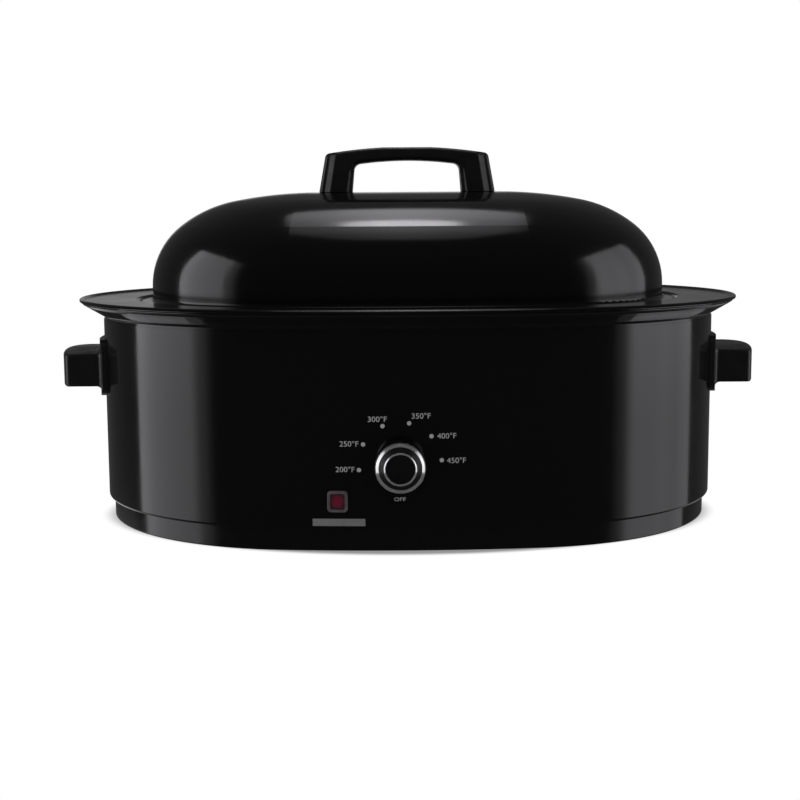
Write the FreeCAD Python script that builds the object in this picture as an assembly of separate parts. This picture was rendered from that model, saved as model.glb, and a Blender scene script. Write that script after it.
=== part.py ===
import FreeCAD, Part
import math
import os

from FreeCAD import Vector

# An 18 quart class electric roaster oven: an oval body with a liner hung in its rim, a lift-out cookwell and rack,
# and a lift-off domed lid. Millimetres, +Z up, the dial faces -Y. The origin is on the table, in the middle.

# ---- Plan outline ---------------------------------------------------------------------------------------------
# Every wall, rim and lip is the body wall's oval moved outward by an offset, so inward offsets are negative.
# The oval is four tangent arcs: two long, flat ones at the front and back, and two rounder ones at the ends.
HALF_LENGTH = 251.0
HALF_DEPTH = 177.0
SIDE_RADIUS = 900.0

# ---- Fits -----------------------------------------------------------------------------------------------------
SEAT = 0.1  # between curved pieces fixed to each other
LIFT_GAP = 0.3  # between pieces that lift apart
RUNNING = 0.05  # radial, a turning shaft in its bore
SCREW_FIT = 0.1  # radial, a screw in its hole
BORE_RELIEF = 1.0  # a blind hole's depth beyond what goes in it

# ---- Pan-head screws, as multiples of the shank's radius ------------------------------------------------------
HEAD_RADIUS_RATIO = 2.0
HEAD_HEIGHT_RATIO = 1.0
RECESS_ARM_RATIO = 1.1
RECESS_WIDTH_RATIO = 0.4

# ---- Sheet steel body -----------------------------------------------------------------------------------------
SHEET = 0.6
BODY_BOTTOM = 20.0
BODY_ROLL = 2.0
BODY_LIP = 14.0
BODY_SEAM = 0.2  # between the wrapper's halves, behind the side handles
BODY_TOP = 165.2  # top edge of the wrapper, below the liner's flare

BAND_INSET = 4.5
BAND_BOTTOM = 3.0
BAND_WALL = 2.5
BAND_EDGE = 1.0

PLATE_BOTTOM = 5.0
PLATE_TURN_UP = 10.0
PLATE_BEND = 2.0
SLOT_LENGTH = 44.0
SLOT_WIDTH = 5.0
SLOT_PITCH = 15.0
SLOT_COUNT = 6

FOOT_INSET_X = 86.0  # from the body's end
FOOT_INSET_Y = 65.0  # from the body's front or back
FOOT_RADIUS = 11.0
FOOT_EDGE = 1.0
FOOT_STEM_RADIUS = 4.0
FOOT_BARB = 1.5
FOOT_BARB_HEIGHT = 3.0

# ---- Liner and what wraps it ----------------------------------------------------------------------------------
LINER_INSET = 23.0  # its outer face
LINER_FLOOR = 21.0  # its underside
LINER_CORNER = 15.0
DECK = 178.4  # underside of its flange
FLARE_REACH = 16.5  # its outer edge, under the brim
FLARE_TOP = 177.4
FLARE_FOOT = 167.2  # where it meets the hem
FLARE_BEND = 0.4
FOOT_BEND = 1.0
HEM_BOTTOM = 156.0  # inside the wrapper
NECK_BEND = 1.2

POST_INSET_X = 133.0  # from the body's end
POST_INSET_Y = 99.0  # from the body's front or back
POST_RADIUS = 5.0
POST_CAP = 3.0  # left solid above the bore
BASE_SCREW_RADIUS = 2.0

PAD_INSET = 60.0
PAD_THICKNESS = 11.5

HEATER_BOTTOM = 94.0
HEATER_HEIGHT = 56.0
HEATER_THICKNESS = 0.6
RIBBON_COUNT = 4
RIBBON_HEIGHT = 3.0
RIBBON_THICKNESS = 0.4
RIBBON_GAP = 22.0  # the break in each ribbon, above the thermostat
CLIP_WIDTH = 8.0
CLIP_THICKNESS = 0.8
CLIP_COUNT = 5  # along each long side
CLIP_PITCH = 66.0

WRAP_BOTTOM = 97.0
WRAP_TOP = 158.0
WRAP_THICKNESS = 11.0

# ---- Side handles ---------------------------------------------------------------------------------------------
GRIP_REACH = 34.9  # from the wall to the outer face, at the middle
GRIP_BOW = 131.0  # radius of the outer face, seen from above
GRIP_LENGTH = 96.0
GRIP_TOP = 139.0
GRIP_CROWN = 577.0  # radius of the top, seen from the end
GRIP_HEIGHT = 28.0
GRIP_WALL = 3.0
GRIP_EDGE = 3.2
GRIP_CORNER = 3.8
GRIP_ROOT = 4.0  # where the hood runs into the pad
PAD_LENGTH = 112.0
PAD_TOP = 148.5
PAD_HEIGHT = 45.3
PAD_DEPTH = 4.0
PAD_CORNER = 14.0
BOSS_SPREAD = 36.0
BOSS_RADIUS = 5.0
HANDLE_SCREW_RADIUS = 2.0
HANDLE_SCREW_GRIP = 15.0  # into the boss

# ---- Controls, left of the middle of the front ----------------------------------------------------------------
CONTROL_X = -8.3
KNOB_Z = 68.8
KNOB_STANDOFF = 0.6
KNOB_BASE_RADIUS = 17.8
KNOB_RADIUS = 16.9  # at the ring
KNOB_GRIP = 16.6  # length of the fluted side
KNOB_FACE = 20.2  # height of the face's outer edge
KNOB_LENGTH = 23.6
FLUTE_COUNT = 20
FLUTE_RADIUS = 1.9
FLUTE_DEPTH = 0.9
FLUTE_START = 3.0
RING_OUTER_RADIUS = 18.1
RING_INNER_RADIUS = 15.6
RING_EDGE = 0.9
INNER_RING_RADIUS = 12.0
INNER_RING_WIDTH = 1.4
INNER_RING_PROUD = 0.4
CAP_DEPTH = 2.4
POINTER_LENGTH = 5.0
POINTER_WIDTH = 1.4
POINTER_PROUD = 0.5
SHAFT_RADIUS = 3.0
SHAFT_FLAT = 2.2  # from the axis to the flat that drives the knob
SHAFT_DEPTH = 6.0  # inside the thermostat's case
BUSH_RADIUS = 5.0
THERMOSTAT_WIDTH = 34.0
THERMOSTAT_HEIGHT = 26.0
THERMOSTAT_DEPTH = 14.0
THERMOSTAT_CORNER = 2.0
EAR_REACH = 9.0
EAR_HEIGHT = 12.0
EAR_THICKNESS = 1.6
EAR_CORNER = 3.0
THERMOSTAT_SCREW_RADIUS = 1.5
BRACKET_THICKNESS = 1.2
BRACKET_WIDTH = 58.0
BRACKET_HEIGHT = 16.0

LAMP_X = -54.0
LAMP_Z = 41.0
BEZEL_WIDTH = 15.0
BEZEL_HEIGHT = 16.0
BEZEL_FRAME = 2.2
BEZEL_PROUD = 1.8
BEZEL_CORNER = 3.0
BEZEL_EDGE = 0.8
LENS_CORNER = 1.5
LENS_PROUD = 1.4
LENS_SKIN = 1.2
LENS_DEPTH = 6.0  # behind the wall's face
BULB_RADIUS = 2.4
HOLDER_DEPTH = 11.5
TAG_LENGTH = 3.5
TAG_WIDTH = 4.0
TAG_THICKNESS = 0.8
TAG_SPREAD = 3.0

GLAND_Z = 45.0
GLAND_BORE_RADIUS = 4.2
GLAND_BARREL_RADIUS = 6.5
GLAND_FLANGE_RADIUS = 9.5
GLAND_LENGTH = 12.0
GLAND_TAIL = 6.0  # behind the wall
GLAND_BARB = 1.4
GLAND_FLANGE = 2.0
GLAND_EDGE = 0.6

BLOCK_INSET = 39.0  # from the body's back
BLOCK_WIDTH = 30.0
BLOCK_DEPTH = 14.0
BLOCK_HEIGHT = 12.0
TERMINAL_RADIUS = 2.2
TERMINAL_DEPTH = 4.0
WIRE_RADIUS = 1.0
WIRE_SPREAD = 6.0

# ---- Cookwell and rack ----------------------------------------------------------------------------------------
PAN_SHEET = 1.0
BRIM_REACH = 19.0
BEAD_HEIGHT = 3.0
BEAD_PROUD = 1.5
BEAD_RAMP = 3.0
BEAD_BEND = 1.6
LEDGE_OUTER = 26.5
LEDGE_DROP = 3.4
LEDGE_SLOPE = 1.5
LEDGE_BEND = 0.8
STEP_BEND = 0.4
MOUTH_BEND = 1.6
PAN_INSET = 34.5  # its inner face, at the ledge
PAN_TAPER = 4.0
PAN_FLOOR = 28.8  # its underside
PAN_CORNER = 22.0

RACK_INSET = 58.0
RACK_HEIGHT = 16.0
FRAME_WIRE_RADIUS = 2.2
RAIL_WIRE_RADIUS = 1.9
LEG_WIRE_RADIUS = 1.6
CROSS_WIRE_RADIUS = 1.5
CROSS_WIRE_PITCH = 28.0
CROSS_WIRE_COUNT = 11
RACK_HANDLE_WIDTH = 56.0
RACK_HANDLE_RISE = 80.0
RACK_HANDLE_BEND = 10.0

# ---- Lid ------------------------------------------------------------------------------------------------------
LID_SHEET = 0.8
LID_INSET = 40.0
LID_FLANGE = 9.5
LID_NECK_BEND = 3.0
LID_EDGE_BEND = 0.3
LID_SPRING = 190.0  # where the straight wall ends and the dome starts
DOME_RISE = 76.0
SHOULDER_RADIUS = 62.0
SHOULDER_ANGLE = 52.0  # degrees from upright where the shoulder arc ends
BROW_ANGLE = 79.0  # degrees from upright where the crown arc starts
CROWN_RADIUS = 4.8  # end radius of the flat crown
CROWN_EASE = 10.0  # how far the crown arc would run on before it was level

HANDLE_INSET = 11.0  # from the end of the lid's flat crown in to the handle's foot
HANDLE_SPREAD = 5.5  # how much further out the feet stand than the top
HANDLE_RISE = 36.0  # from the top of the dome to the top of the bar
HANDLE_ARCH = 5.0
HANDLE_LEG = 27.0
HANDLE_LEAN = 2.0
HANDLE_BAR = 8.5
HANDLE_CORNER = 4.4
HANDLE_INNER_CORNER = 6.0
HANDLE_EDGE = 3.6
HANDLE_DEPTH = 30.0
HANDLE_TOP_DEPTH = 24.0
LID_SCREW_RADIUS = 2.5
LID_SCREW_INSET = 14.5  # from the outer edge of the foot
LID_SCREW_GRIP = 15.0  # into the leg
WASHER_RADIUS = 6.5
WASHER_THICKNESS = 1.2

# ---- Worked out from the sizes above --------------------------------------------------------------------------
END_RADIUS = (2 * SIDE_RADIUS * HALF_DEPTH - HALF_LENGTH**2 - HALF_DEPTH**2) / (2 * (SIDE_RADIUS - HALF_LENGTH))
END_X = HALF_LENGTH - END_RADIUS
HANDLE_FOOT_HALF = END_X + CROWN_RADIUS - HANDLE_INSET
HANDLE_TOP_HALF = HANDLE_FOOT_HALF - HANDLE_SPREAD
LID_SCREW_X = HANDLE_FOOT_HALF - LID_SCREW_INSET
SIDE_Y = SIDE_RADIUS - HALF_DEPTH
JOIN_ANGLE = math.degrees(math.atan2(SIDE_Y, END_X))
OVAL_ARCS = [
    (Vector(END_X, 0, 0), END_RADIUS, -JOIN_ANGLE, 2 * JOIN_ANGLE),
    (Vector(0, -SIDE_Y, 0), SIDE_RADIUS, JOIN_ANGLE, 180 - 2 * JOIN_ANGLE),
    (Vector(-END_X, 0, 0), END_RADIUS, 180 - JOIN_ANGLE, 2 * JOIN_ANGLE),
    (Vector(0, SIDE_Y, 0), SIDE_RADIUS, 180 + JOIN_ANGLE, 180 - 2 * JOIN_ANGLE),
]
FOOT_X = HALF_LENGTH - FOOT_INSET_X
FOOT_Y = HALF_DEPTH - FOOT_INSET_Y
POST_X = HALF_LENGTH - POST_INSET_X
POST_Y = HALF_DEPTH - POST_INSET_Y
BLOCK_Y = HALF_DEPTH - BLOCK_INSET
HANDLE_SCREW_Z = GRIP_TOP - GRIP_HEIGHT / 2
PLATE_TOP = PLATE_BOTTOM + SHEET
DECK_TOP = DECK + SHEET
BRIM_BOTTOM = DECK_TOP + LIFT_GAP
BRIM_TOP = BRIM_BOTTOM + PAN_SHEET
LEDGE_TOP = BRIM_TOP - LEDGE_DROP
PAN_FLOOR_TOP = PAN_FLOOR + PAN_SHEET
HEATER_FACE = -LINER_INSET + HEATER_THICKNESS + SEAT
RIBBON_FACE = HEATER_FACE + RIBBON_THICKNESS + SEAT
CLIP_FACE = RIBBON_FACE + CLIP_THICKNESS + SEAT
LINER_FRONT = -HALF_DEPTH + LINER_INSET
THERMOSTAT_BACK = LINER_FRONT - SEAT - BRACKET_THICKNESS
THERMOSTAT_FRONT = THERMOSTAT_BACK - THERMOSTAT_DEPTH
WIRE_Y = THERMOSTAT_BACK - 3 * WIRE_RADIUS
KNOB_START = -HALF_DEPTH - KNOB_STANDOFF
KNOB_FLOOR = KNOB_START - KNOB_LENGTH + CAP_DEPTH  # of the recess that the inner ring and cap sit in
HANDLE_TOP = LID_SPRING + DOME_RISE + HANDLE_RISE
HANDLE_SHOULDER = HANDLE_TOP - HANDLE_ARCH
Z_AXIS = Vector(0, 0, 1)
Y_AXIS = Vector(0, 1, 0)
X_AXIS = Vector(1, 0, 0)


# ---- Shape helpers --------------------------------------------------------------------------------------------
def path(corners, closed=True):
    """Edges through corners in the plane y = 0. A corner (u, v) is sharp, and (u, v, radius) is rounded."""
    points = [Vector(corner[0], 0, corner[1]) for corner in corners]
    bends = []
    for i, corner in enumerate(corners):
        at = points[i]
        if len(corner) == 2:
            bends.append((at, None, at))
            continue
        back = (points[i - 1] - at).normalize()
        ahead = (points[(i + 1) % len(points)] - at).normalize()
        half = back.getAngle(ahead) / 2
        reach = corner[2] / math.tan(half)
        middle = at + (back + ahead).normalize() * (corner[2] / math.sin(half) - corner[2])
        bends.append((at + back * reach, middle, at + ahead * reach))
    edges = []
    for i, (start, middle, end) in enumerate(bends):
        if middle is not None:
            edges.append(Part.Arc(start, middle, end).toShape())
        if i == len(bends) - 1 and not closed:
            break
        following = bends[(i + 1) % len(bends)][0]
        if end.distanceToPoint(following) > 1e-6:
            edges.append(Part.LineSegment(end, following).toShape())
    return edges


def swept(edges):
    """Faces made by carrying a profile of (offset, height) edges once round the oval."""
    faces = []
    profile = Part.Wire(edges)
    for centre, radius, start, turn in OVAL_ARCS:
        section = profile.copy()
        section.translate(Vector(radius, 0, 0))
        section.rotate(Vector(0, 0, 0), Z_AXIS, start)
        section.translate(centre)
        faces += section.revolve(centre, Z_AXIS, turn).Faces
    return faces


def sewn(faces):
    """One solid bounded by the faces."""
    shell = Part.makeShell(faces)
    shell.sewShape()
    solid = Part.makeSolid(shell)
    if solid.Volume < 0:
        solid.reverse()
    return solid


def oval_face(offset, z):
    """The flat face inside the oval at one height."""
    edges = []
    for centre, radius, start, turn in OVAL_ARCS:
        on_arc = []
        for angle in (start, start + turn / 2, start + turn):
            out = Vector(math.cos(math.radians(angle)), math.sin(math.radians(angle)), 0)
            on_arc.append(centre + out * (radius + offset) + Vector(0, 0, z))
        edges.append(Part.Arc(*on_arc).toShape())
    return Part.Face(Part.Wire(edges))


def ring(corners):
    """A hoop of closed profile round the oval."""
    return sewn(swept(path(corners)))


def tub(edges):
    """A vessel: an open profile from the middle of one skin, over the rim, to the middle of the other."""
    faces = swept(edges)
    for vertex in (edges[0].Vertexes[0], edges[-1].Vertexes[-1]):
        faces.append(oval_face(vertex.X, vertex.Z))
    return sewn(faces)


def slab(offset, low, high):
    """The full oval between two heights."""
    return oval_face(offset, low).extrude(Vector(0, 0, high - low))


def band(inner, outer, low, high):
    """A hoop of rectangular section between two offsets."""
    return ring([(outer, low), (outer, high), (inner, high), (inner, low)])


def box(x_range, y_range, z_range):
    """A box between two limits on each axis."""
    low = Vector(x_range[0], y_range[0], z_range[0])
    return Part.makeBox(x_range[1] - x_range[0], y_range[1] - y_range[0], z_range[1] - z_range[0], low)


def prism(corners, y_low, y_high):
    """An outline in x and z, with rounded corners, drawn out along Y."""
    face = Part.Face(Part.Wire(path(corners)))
    face.translate(Vector(0, y_low, 0))
    return face.extrude(Vector(0, y_high - y_low, 0))


def panel(width, height, corner, y_low, y_high, centre):
    """A rounded rectangle about centre (x, z), drawn out along Y."""
    x, z = centre
    left, right, low, high = x - width / 2, x + width / 2, z - height / 2, z + height / 2
    outline = [(left, low, corner), (right, low, corner), (right, high, corner), (left, high, corner)]
    return prism(outline, y_low, y_high)


def turned(corners, base, axis):
    """A profile of (radius, height) turned about an axis that starts at base."""
    face = Part.Face(Part.Wire(path(corners)))
    solid = face.revolve(Vector(0, 0, 0), Z_AXIS, 360)
    solid.Placement = FreeCAD.Placement(base, FreeCAD.Rotation(Z_AXIS, axis))
    return solid


def drilled(shape, holes):
    """The shape less each hole."""
    for hole in holes:
        shape = shape.cut(hole)
    return shape


def joined(shapes):
    """The shapes fused into one solid."""
    return shapes[0].fuse(shapes[1:]).removeSplitter()


def pan_screw(radius, grip, seat, axis):
    """Pan-head screw with a crossed recess: the head bears on seat, and the shank goes on along axis."""
    head = HEAD_HEIGHT_RATIO * radius
    head_radius = HEAD_RADIUS_RATIO * radius
    profile = [
        (0, -head),
        (head_radius - head / 3, -head),
        (head_radius, -head * 2 / 3),
        (head_radius, 0),
        (radius, 0),
        (radius, grip),
        (0, grip),
    ]
    screw = turned(profile, Vector(0, 0, 0), Z_AXIS)
    arm, half_width = RECESS_ARM_RATIO * radius, RECESS_WIDTH_RATIO * radius / 2
    for reach_x, reach_y in ((arm, half_width), (half_width, arm)):
        screw = screw.cut(box((-reach_x, reach_x), (-reach_y, reach_y), (-head, -head / 2)))
    screw.Placement = FreeCAD.Placement(seat, FreeCAD.Rotation(Z_AXIS, axis))
    return screw


def bent_wire(points, radius, bend):
    """A round wire along straight runs joined by arcs, open at both ends."""
    edges, start = [], points[0]
    for i in range(1, len(points) - 1):
        at = points[i]
        back = (points[i - 1] - at).normalize()
        ahead = (points[i + 1] - at).normalize()
        half = back.getAngle(ahead) / 2
        reach = bend / math.tan(half)
        middle = at + (back + ahead).normalize() * (bend / math.sin(half) - bend)
        edges.append(Part.LineSegment(start, at + back * reach).toShape())
        edges.append(Part.Arc(at + back * reach, middle, at + ahead * reach).toShape())
        start = at + ahead * reach
    edges.append(Part.LineSegment(start, points[-1]).toShape())
    circle = Part.Wire(Part.makeCircle(radius, points[0], points[1] - points[0]))
    return Part.Wire(edges).makePipeShell([circle], True, False)


def half_depth_at(x, offset):
    """Half the oval's depth at a distance x from the middle."""
    if abs(x) > END_X:
        return math.sqrt((END_RADIUS + offset) ** 2 - (abs(x) - END_X) ** 2)
    return math.sqrt((SIDE_RADIUS + offset) ** 2 - x**2) - SIDE_Y


def half_length_at(y, offset):
    """Half the oval's length at a distance y from the middle."""
    return END_X + math.sqrt((END_RADIUS + offset) ** 2 - y**2)


def corners_of(x, y):
    """The four places (x, y) that mirror each other in the middle planes."""
    return [(-x, -y), (x, -y), (-x, y), (x, y)]


def on_front(shape, x):
    """A shape made at the middle of the front wall, carried round the wall to x."""
    shape.rotate(Vector(0, SIDE_Y, 0), Z_AXIS, math.degrees(math.asin(x / SIDE_RADIUS)))
    return shape


def front_point(x, aside, y, z):
    """A point made beside the middle of the front wall, carried round the wall to x."""
    about = Vector(0, SIDE_Y, 0)
    turn = FreeCAD.Rotation(Z_AXIS, math.degrees(math.asin(x / SIDE_RADIUS)))
    return about + turn.multVec(Vector(aside, y, z) - about)


def at_handle_screws(shape):
    """Copies of a shape made at the middle of the right end wall, carried round it to the two screw places."""
    copies = []
    for side in (-1, 1):
        copy = shape.copy()
        copy.rotate(Vector(END_X, 0, 0), Z_AXIS, side * math.degrees(math.asin(BOSS_SPREAD / END_RADIUS)))
        copies.append(copy)
    return copies


def handle_pin(radius, low, high):
    """A cylinder square to the right end wall, from low to high offset, at the height of the handle's screws."""
    return Part.makeCylinder(radius, high - low, Vector(HALF_LENGTH + low, 0, HANDLE_SCREW_Z), X_AXIS)


def window(grow, y_low, y_high):
    """A block that fills the lamp's window at the middle of the front wall, grown on every side."""
    width = BEZEL_WIDTH - 2 * BEZEL_FRAME + 2 * grow
    height = BEZEL_HEIGHT - 2 * BEZEL_FRAME + 2 * grow
    return panel(width, height, LENS_CORNER + grow, y_low, y_high, (0, LAMP_Z))


# ---- Body -----------------------------------------------------------------------------------------------------
def wrapper_halves():
    """Painted steel wrapper in a front and a rear half, rolled in at the bottom to a lip that clamps the band."""
    wall = ring(
        [
            (0, BODY_TOP),
            (0, BODY_BOTTOM, BODY_ROLL),
            (-BODY_LIP, BODY_BOTTOM),
            (-BODY_LIP, BODY_BOTTOM + SHEET),
            (-SHEET, BODY_BOTTOM + SHEET, BODY_ROLL - SHEET),
            (-SHEET, BODY_TOP),
        ]
    )
    reach = 4 * SHEET
    bush_hole = Part.makeCylinder(
        BUSH_RADIUS + SCREW_FIT, 2 * reach, Vector(CONTROL_X, -HALF_DEPTH - reach, KNOB_Z), Y_AXIS
    )
    lamp_hole = on_front(window(SEAT, -HALF_DEPTH - reach, -HALF_DEPTH + reach), LAMP_X)
    gland_hole = Part.makeCylinder(
        GLAND_BARREL_RADIUS + SCREW_FIT, 2 * reach, Vector(0, HALF_DEPTH - reach, GLAND_Z), Y_AXIS
    )
    holes = [bush_hole, lamp_hole, gland_hole]
    for screw_hole in at_handle_screws(handle_pin(HANDLE_SCREW_RADIUS + SCREW_FIT, -reach, reach)):
        holes += [screw_hole, screw_hole.mirror(Vector(0, 0, 0), X_AXIS)]
    wall = drilled(wall, holes)
    halves = []
    for side in (-1, 1):
        away = sorted((side * BODY_SEAM / 2, -side * 2 * HALF_DEPTH))
        halves.append(wall.cut(box((-2 * HALF_LENGTH, 2 * HALF_LENGTH), away, (0, 2 * DECK))))
    return halves


def base_band():
    """Moulded skirt under the wrapper, with a ledge that the wrapper's lip sits on."""
    outer, inner = -BAND_INSET, -BAND_INSET - BAND_WALL
    return ring(
        [
            (outer, BAND_BOTTOM, BAND_EDGE),
            (outer, BODY_BOTTOM, BAND_EDGE),
            (-BODY_LIP - SEAT, BODY_BOTTOM),
            (-BODY_LIP - SEAT, BODY_BOTTOM - BAND_WALL),
            (inner, BODY_BOTTOM - BAND_WALL),
            (inner, BAND_BOTTOM),
        ]
    )


def bottom_plate():
    """Steel closing plate with a turned-up edge, cooling slots, and holes for feet and screws."""
    outer = -BAND_INSET - BAND_WALL - SEAT
    plate = tub(
        path(
            [
                (-PAD_INSET, PLATE_TOP),
                (outer - SHEET, PLATE_TOP, PLATE_BEND),
                (outer - SHEET, PLATE_BOTTOM + PLATE_TURN_UP),
                (outer, PLATE_BOTTOM + PLATE_TURN_UP),
                (outer, PLATE_BOTTOM, PLATE_BEND + SHEET),
                (-PAD_INSET, PLATE_BOTTOM),
            ],
            closed=False,
        )
    )
    holes = []
    low = PLATE_BOTTOM - SHEET
    for x, y in corners_of(FOOT_X, FOOT_Y):
        holes.append(Part.makeCylinder(FOOT_STEM_RADIUS + SCREW_FIT, 3 * SHEET, Vector(x, y, low)))
    for x, y in corners_of(POST_X, POST_Y):
        holes.append(Part.makeCylinder(BASE_SCREW_RADIUS + SCREW_FIT, 3 * SHEET, Vector(x, y, low)))
    for side in (-1, 1):
        for i in range(SLOT_COUNT):
            x = side * (FOOT_X - POST_X) + (i - (SLOT_COUNT - 1) / 2) * SLOT_PITCH
            slot = panel(SLOT_WIDTH, SLOT_LENGTH, 0.49 * SLOT_WIDTH, 0, 3 * SHEET, (0, 0))
            slot.rotate(Vector(0, 0, 0), X_AXIS, 90)
            slot.translate(Vector(x, 0, low))
            holes.append(slot)
    return drilled(plate, holes)


def foot(x, y):
    """Rubber foot: a round pad, a stem through the plate and a barb that holds it."""
    profile = [
        (0, 0),
        (FOOT_RADIUS - FOOT_EDGE, 0),
        (FOOT_RADIUS, FOOT_EDGE),
        (FOOT_RADIUS, PLATE_BOTTOM),
        (FOOT_STEM_RADIUS, PLATE_BOTTOM),
        (FOOT_STEM_RADIUS, PLATE_TOP),
        (FOOT_STEM_RADIUS + FOOT_BARB, PLATE_TOP),
        (FOOT_STEM_RADIUS - FOOT_EDGE, PLATE_TOP + FOOT_BARB_HEIGHT),
        (0, PLATE_TOP + FOOT_BARB_HEIGHT),
    ]
    return turned(profile, Vector(x, y, 0), Z_AXIS)


def oven_liner():
    """Steel heat shell: a tub hung by a flange whose edge flares back in to a hem inside the wrapper."""
    outside = -LINER_INSET
    inside = outside - SHEET
    hem = -SHEET - SEAT
    slope = (FLARE_TOP - FLARE_FOOT) / (FLARE_REACH - hem)
    skin_rise = SHEET * (math.hypot(1, slope) - slope)
    return tub(
        path(
            [
                (-PAD_INSET - LINER_INSET, LINER_FLOOR + SHEET),
                (inside, LINER_FLOOR + SHEET, LINER_CORNER - SHEET),
                (inside, DECK_TOP, NECK_BEND + SHEET),
                (FLARE_REACH, DECK_TOP, FLARE_BEND + SHEET),
                (FLARE_REACH, FLARE_TOP, FLARE_BEND + SHEET),
                (hem, FLARE_FOOT, FOOT_BEND),
                (hem, HEM_BOTTOM),
                (hem - SHEET, HEM_BOTTOM),
                (hem - SHEET, FLARE_FOOT + skin_rise, FOOT_BEND + SHEET),
                (FLARE_REACH - SHEET, FLARE_TOP + skin_rise, FLARE_BEND),
                (FLARE_REACH - SHEET, DECK, FLARE_BEND),
                (outside, DECK, NECK_BEND),
                (outside, LINER_FLOOR, LINER_CORNER),
                (-PAD_INSET - LINER_INSET, LINER_FLOOR),
            ],
            closed=False,
        )
    )


def liner_posts():
    """Weld posts under the liner, bored for the screws that hold the bottom plate."""
    posts = []
    for x, y in corners_of(POST_X, POST_Y):
        post = Part.makeCylinder(POST_RADIUS, LINER_FLOOR - PLATE_TOP, Vector(x, y, PLATE_TOP))
        depth = LINER_FLOOR - PLATE_TOP - POST_CAP
        bore = Part.makeCylinder(BASE_SCREW_RADIUS + SCREW_FIT, depth, Vector(x, y, PLATE_TOP))
        posts.append(post.cut(bore))
    return Part.makeCompound(posts)


def base_screws():
    """Pan-head screws up through the bottom plate into the posts."""
    grip = LINER_FLOOR - PLATE_BOTTOM - POST_CAP - BORE_RELIEF
    screws = []
    for x, y in corners_of(POST_X, POST_Y):
        screws.append(pan_screw(BASE_SCREW_RADIUS, grip, Vector(x, y, PLATE_BOTTOM), Z_AXIS))
    return Part.makeCompound(screws)


def insulation_pad():
    """Mineral wool under the liner's floor, holed for the posts."""
    top = LINER_FLOOR - SEAT
    pad = slab(-PAD_INSET, top - PAD_THICKNESS, top)
    holes = []
    for x, y in corners_of(POST_X, POST_Y):
        holes.append(Part.makeCylinder(POST_RADIUS + SEAT, PAD_THICKNESS, Vector(x, y, top - PAD_THICKNESS)))
    return drilled(pad, holes)


def insulation_wrap():
    """Mineral wool blanket round the heater."""
    return band(CLIP_FACE + SEAT, CLIP_FACE + SEAT + WRAP_THICKNESS, WRAP_BOTTOM, WRAP_TOP)


def heater_band():
    """Mica strip wrapped round the liner as the carrier of the heating ribbons."""
    return band(-LINER_INSET + SEAT, HEATER_FACE, HEATER_BOTTOM, HEATER_BOTTOM + HEATER_HEIGHT)


def ribbon_z(index):
    """Bottom edge of one heating ribbon."""
    pitch = HEATER_HEIGHT / RIBBON_COUNT
    return HEATER_BOTTOM + (index + 0.5) * pitch - RIBBON_HEIGHT / 2


def heating_ribbons():
    """Flat resistance ribbons round the band, each broken above the thermostat."""
    gap = box(
        (CONTROL_X - RIBBON_GAP / 2, CONTROL_X + RIBBON_GAP / 2),
        (-HALF_DEPTH, 0),
        (HEATER_BOTTOM, HEATER_BOTTOM + HEATER_HEIGHT),
    )
    ribbons = []
    for i in range(RIBBON_COUNT):
        hoop = band(HEATER_FACE + SEAT, RIBBON_FACE, ribbon_z(i), ribbon_z(i) + RIBBON_HEIGHT)
        ribbons.append(hoop.cut(gap))
    return Part.makeCompound(ribbons)


def heater_clips():
    """Steel straps that press the ribbons on the band, and two bus straps at the break."""
    hoop = band(RIBBON_FACE + SEAT, CLIP_FACE, HEATER_BOTTOM - 2.0, HEATER_BOTTOM + HEATER_HEIGHT + 2.0)
    places = []
    for side in (-1, 1):
        for i in range(CLIP_COUNT):
            places.append((CONTROL_X + (i - (CLIP_COUNT - 1) / 2) * CLIP_PITCH, side))
    clips = []
    for x, side in places:
        if side == -1 and x == CONTROL_X:
            continue
        cutter = box((x - CLIP_WIDTH / 2, x + CLIP_WIDTH / 2), sorted((0, side * 2 * HALF_DEPTH)), (0, DECK))
        clips.append(hoop.common(cutter))
    for side in (-1, 1):
        x = CONTROL_X + side * (RIBBON_GAP / 2 + CLIP_WIDTH / 2)
        clips.append(hoop.common(box((x - CLIP_WIDTH / 2, x + CLIP_WIDTH / 2), (-2 * HALF_DEPTH, 0), (0, DECK))))
    return Part.makeCompound(clips)


# ---- Side handles ---------------------------------------------------------------------------------------------
def grip_block(inward):
    """Outside of the side handle's hood, or its hollow when taken inward by the wall's thickness."""
    half = GRIP_LENGTH / 2 - inward
    low = GRIP_TOP - GRIP_HEIGHT
    outer = HALF_LENGTH + GRIP_REACH
    block = box((HALF_LENGTH / 2, outer), (-half, half), (low - inward, GRIP_TOP))
    bow = Part.makeCylinder(GRIP_BOW - inward, 2 * GRIP_TOP, Vector(outer - GRIP_BOW, 0, 0))
    bow.rotate(bow.CenterOfMass, Z_AXIS, 180)
    crown = Part.makeCylinder(GRIP_CROWN - inward, 2 * outer, Vector(0, 0, GRIP_TOP - GRIP_CROWN), X_AXIS)
    crown.rotate(crown.CenterOfMass, X_AXIS, 180)
    return block.common(bow).common(crown)


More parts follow.
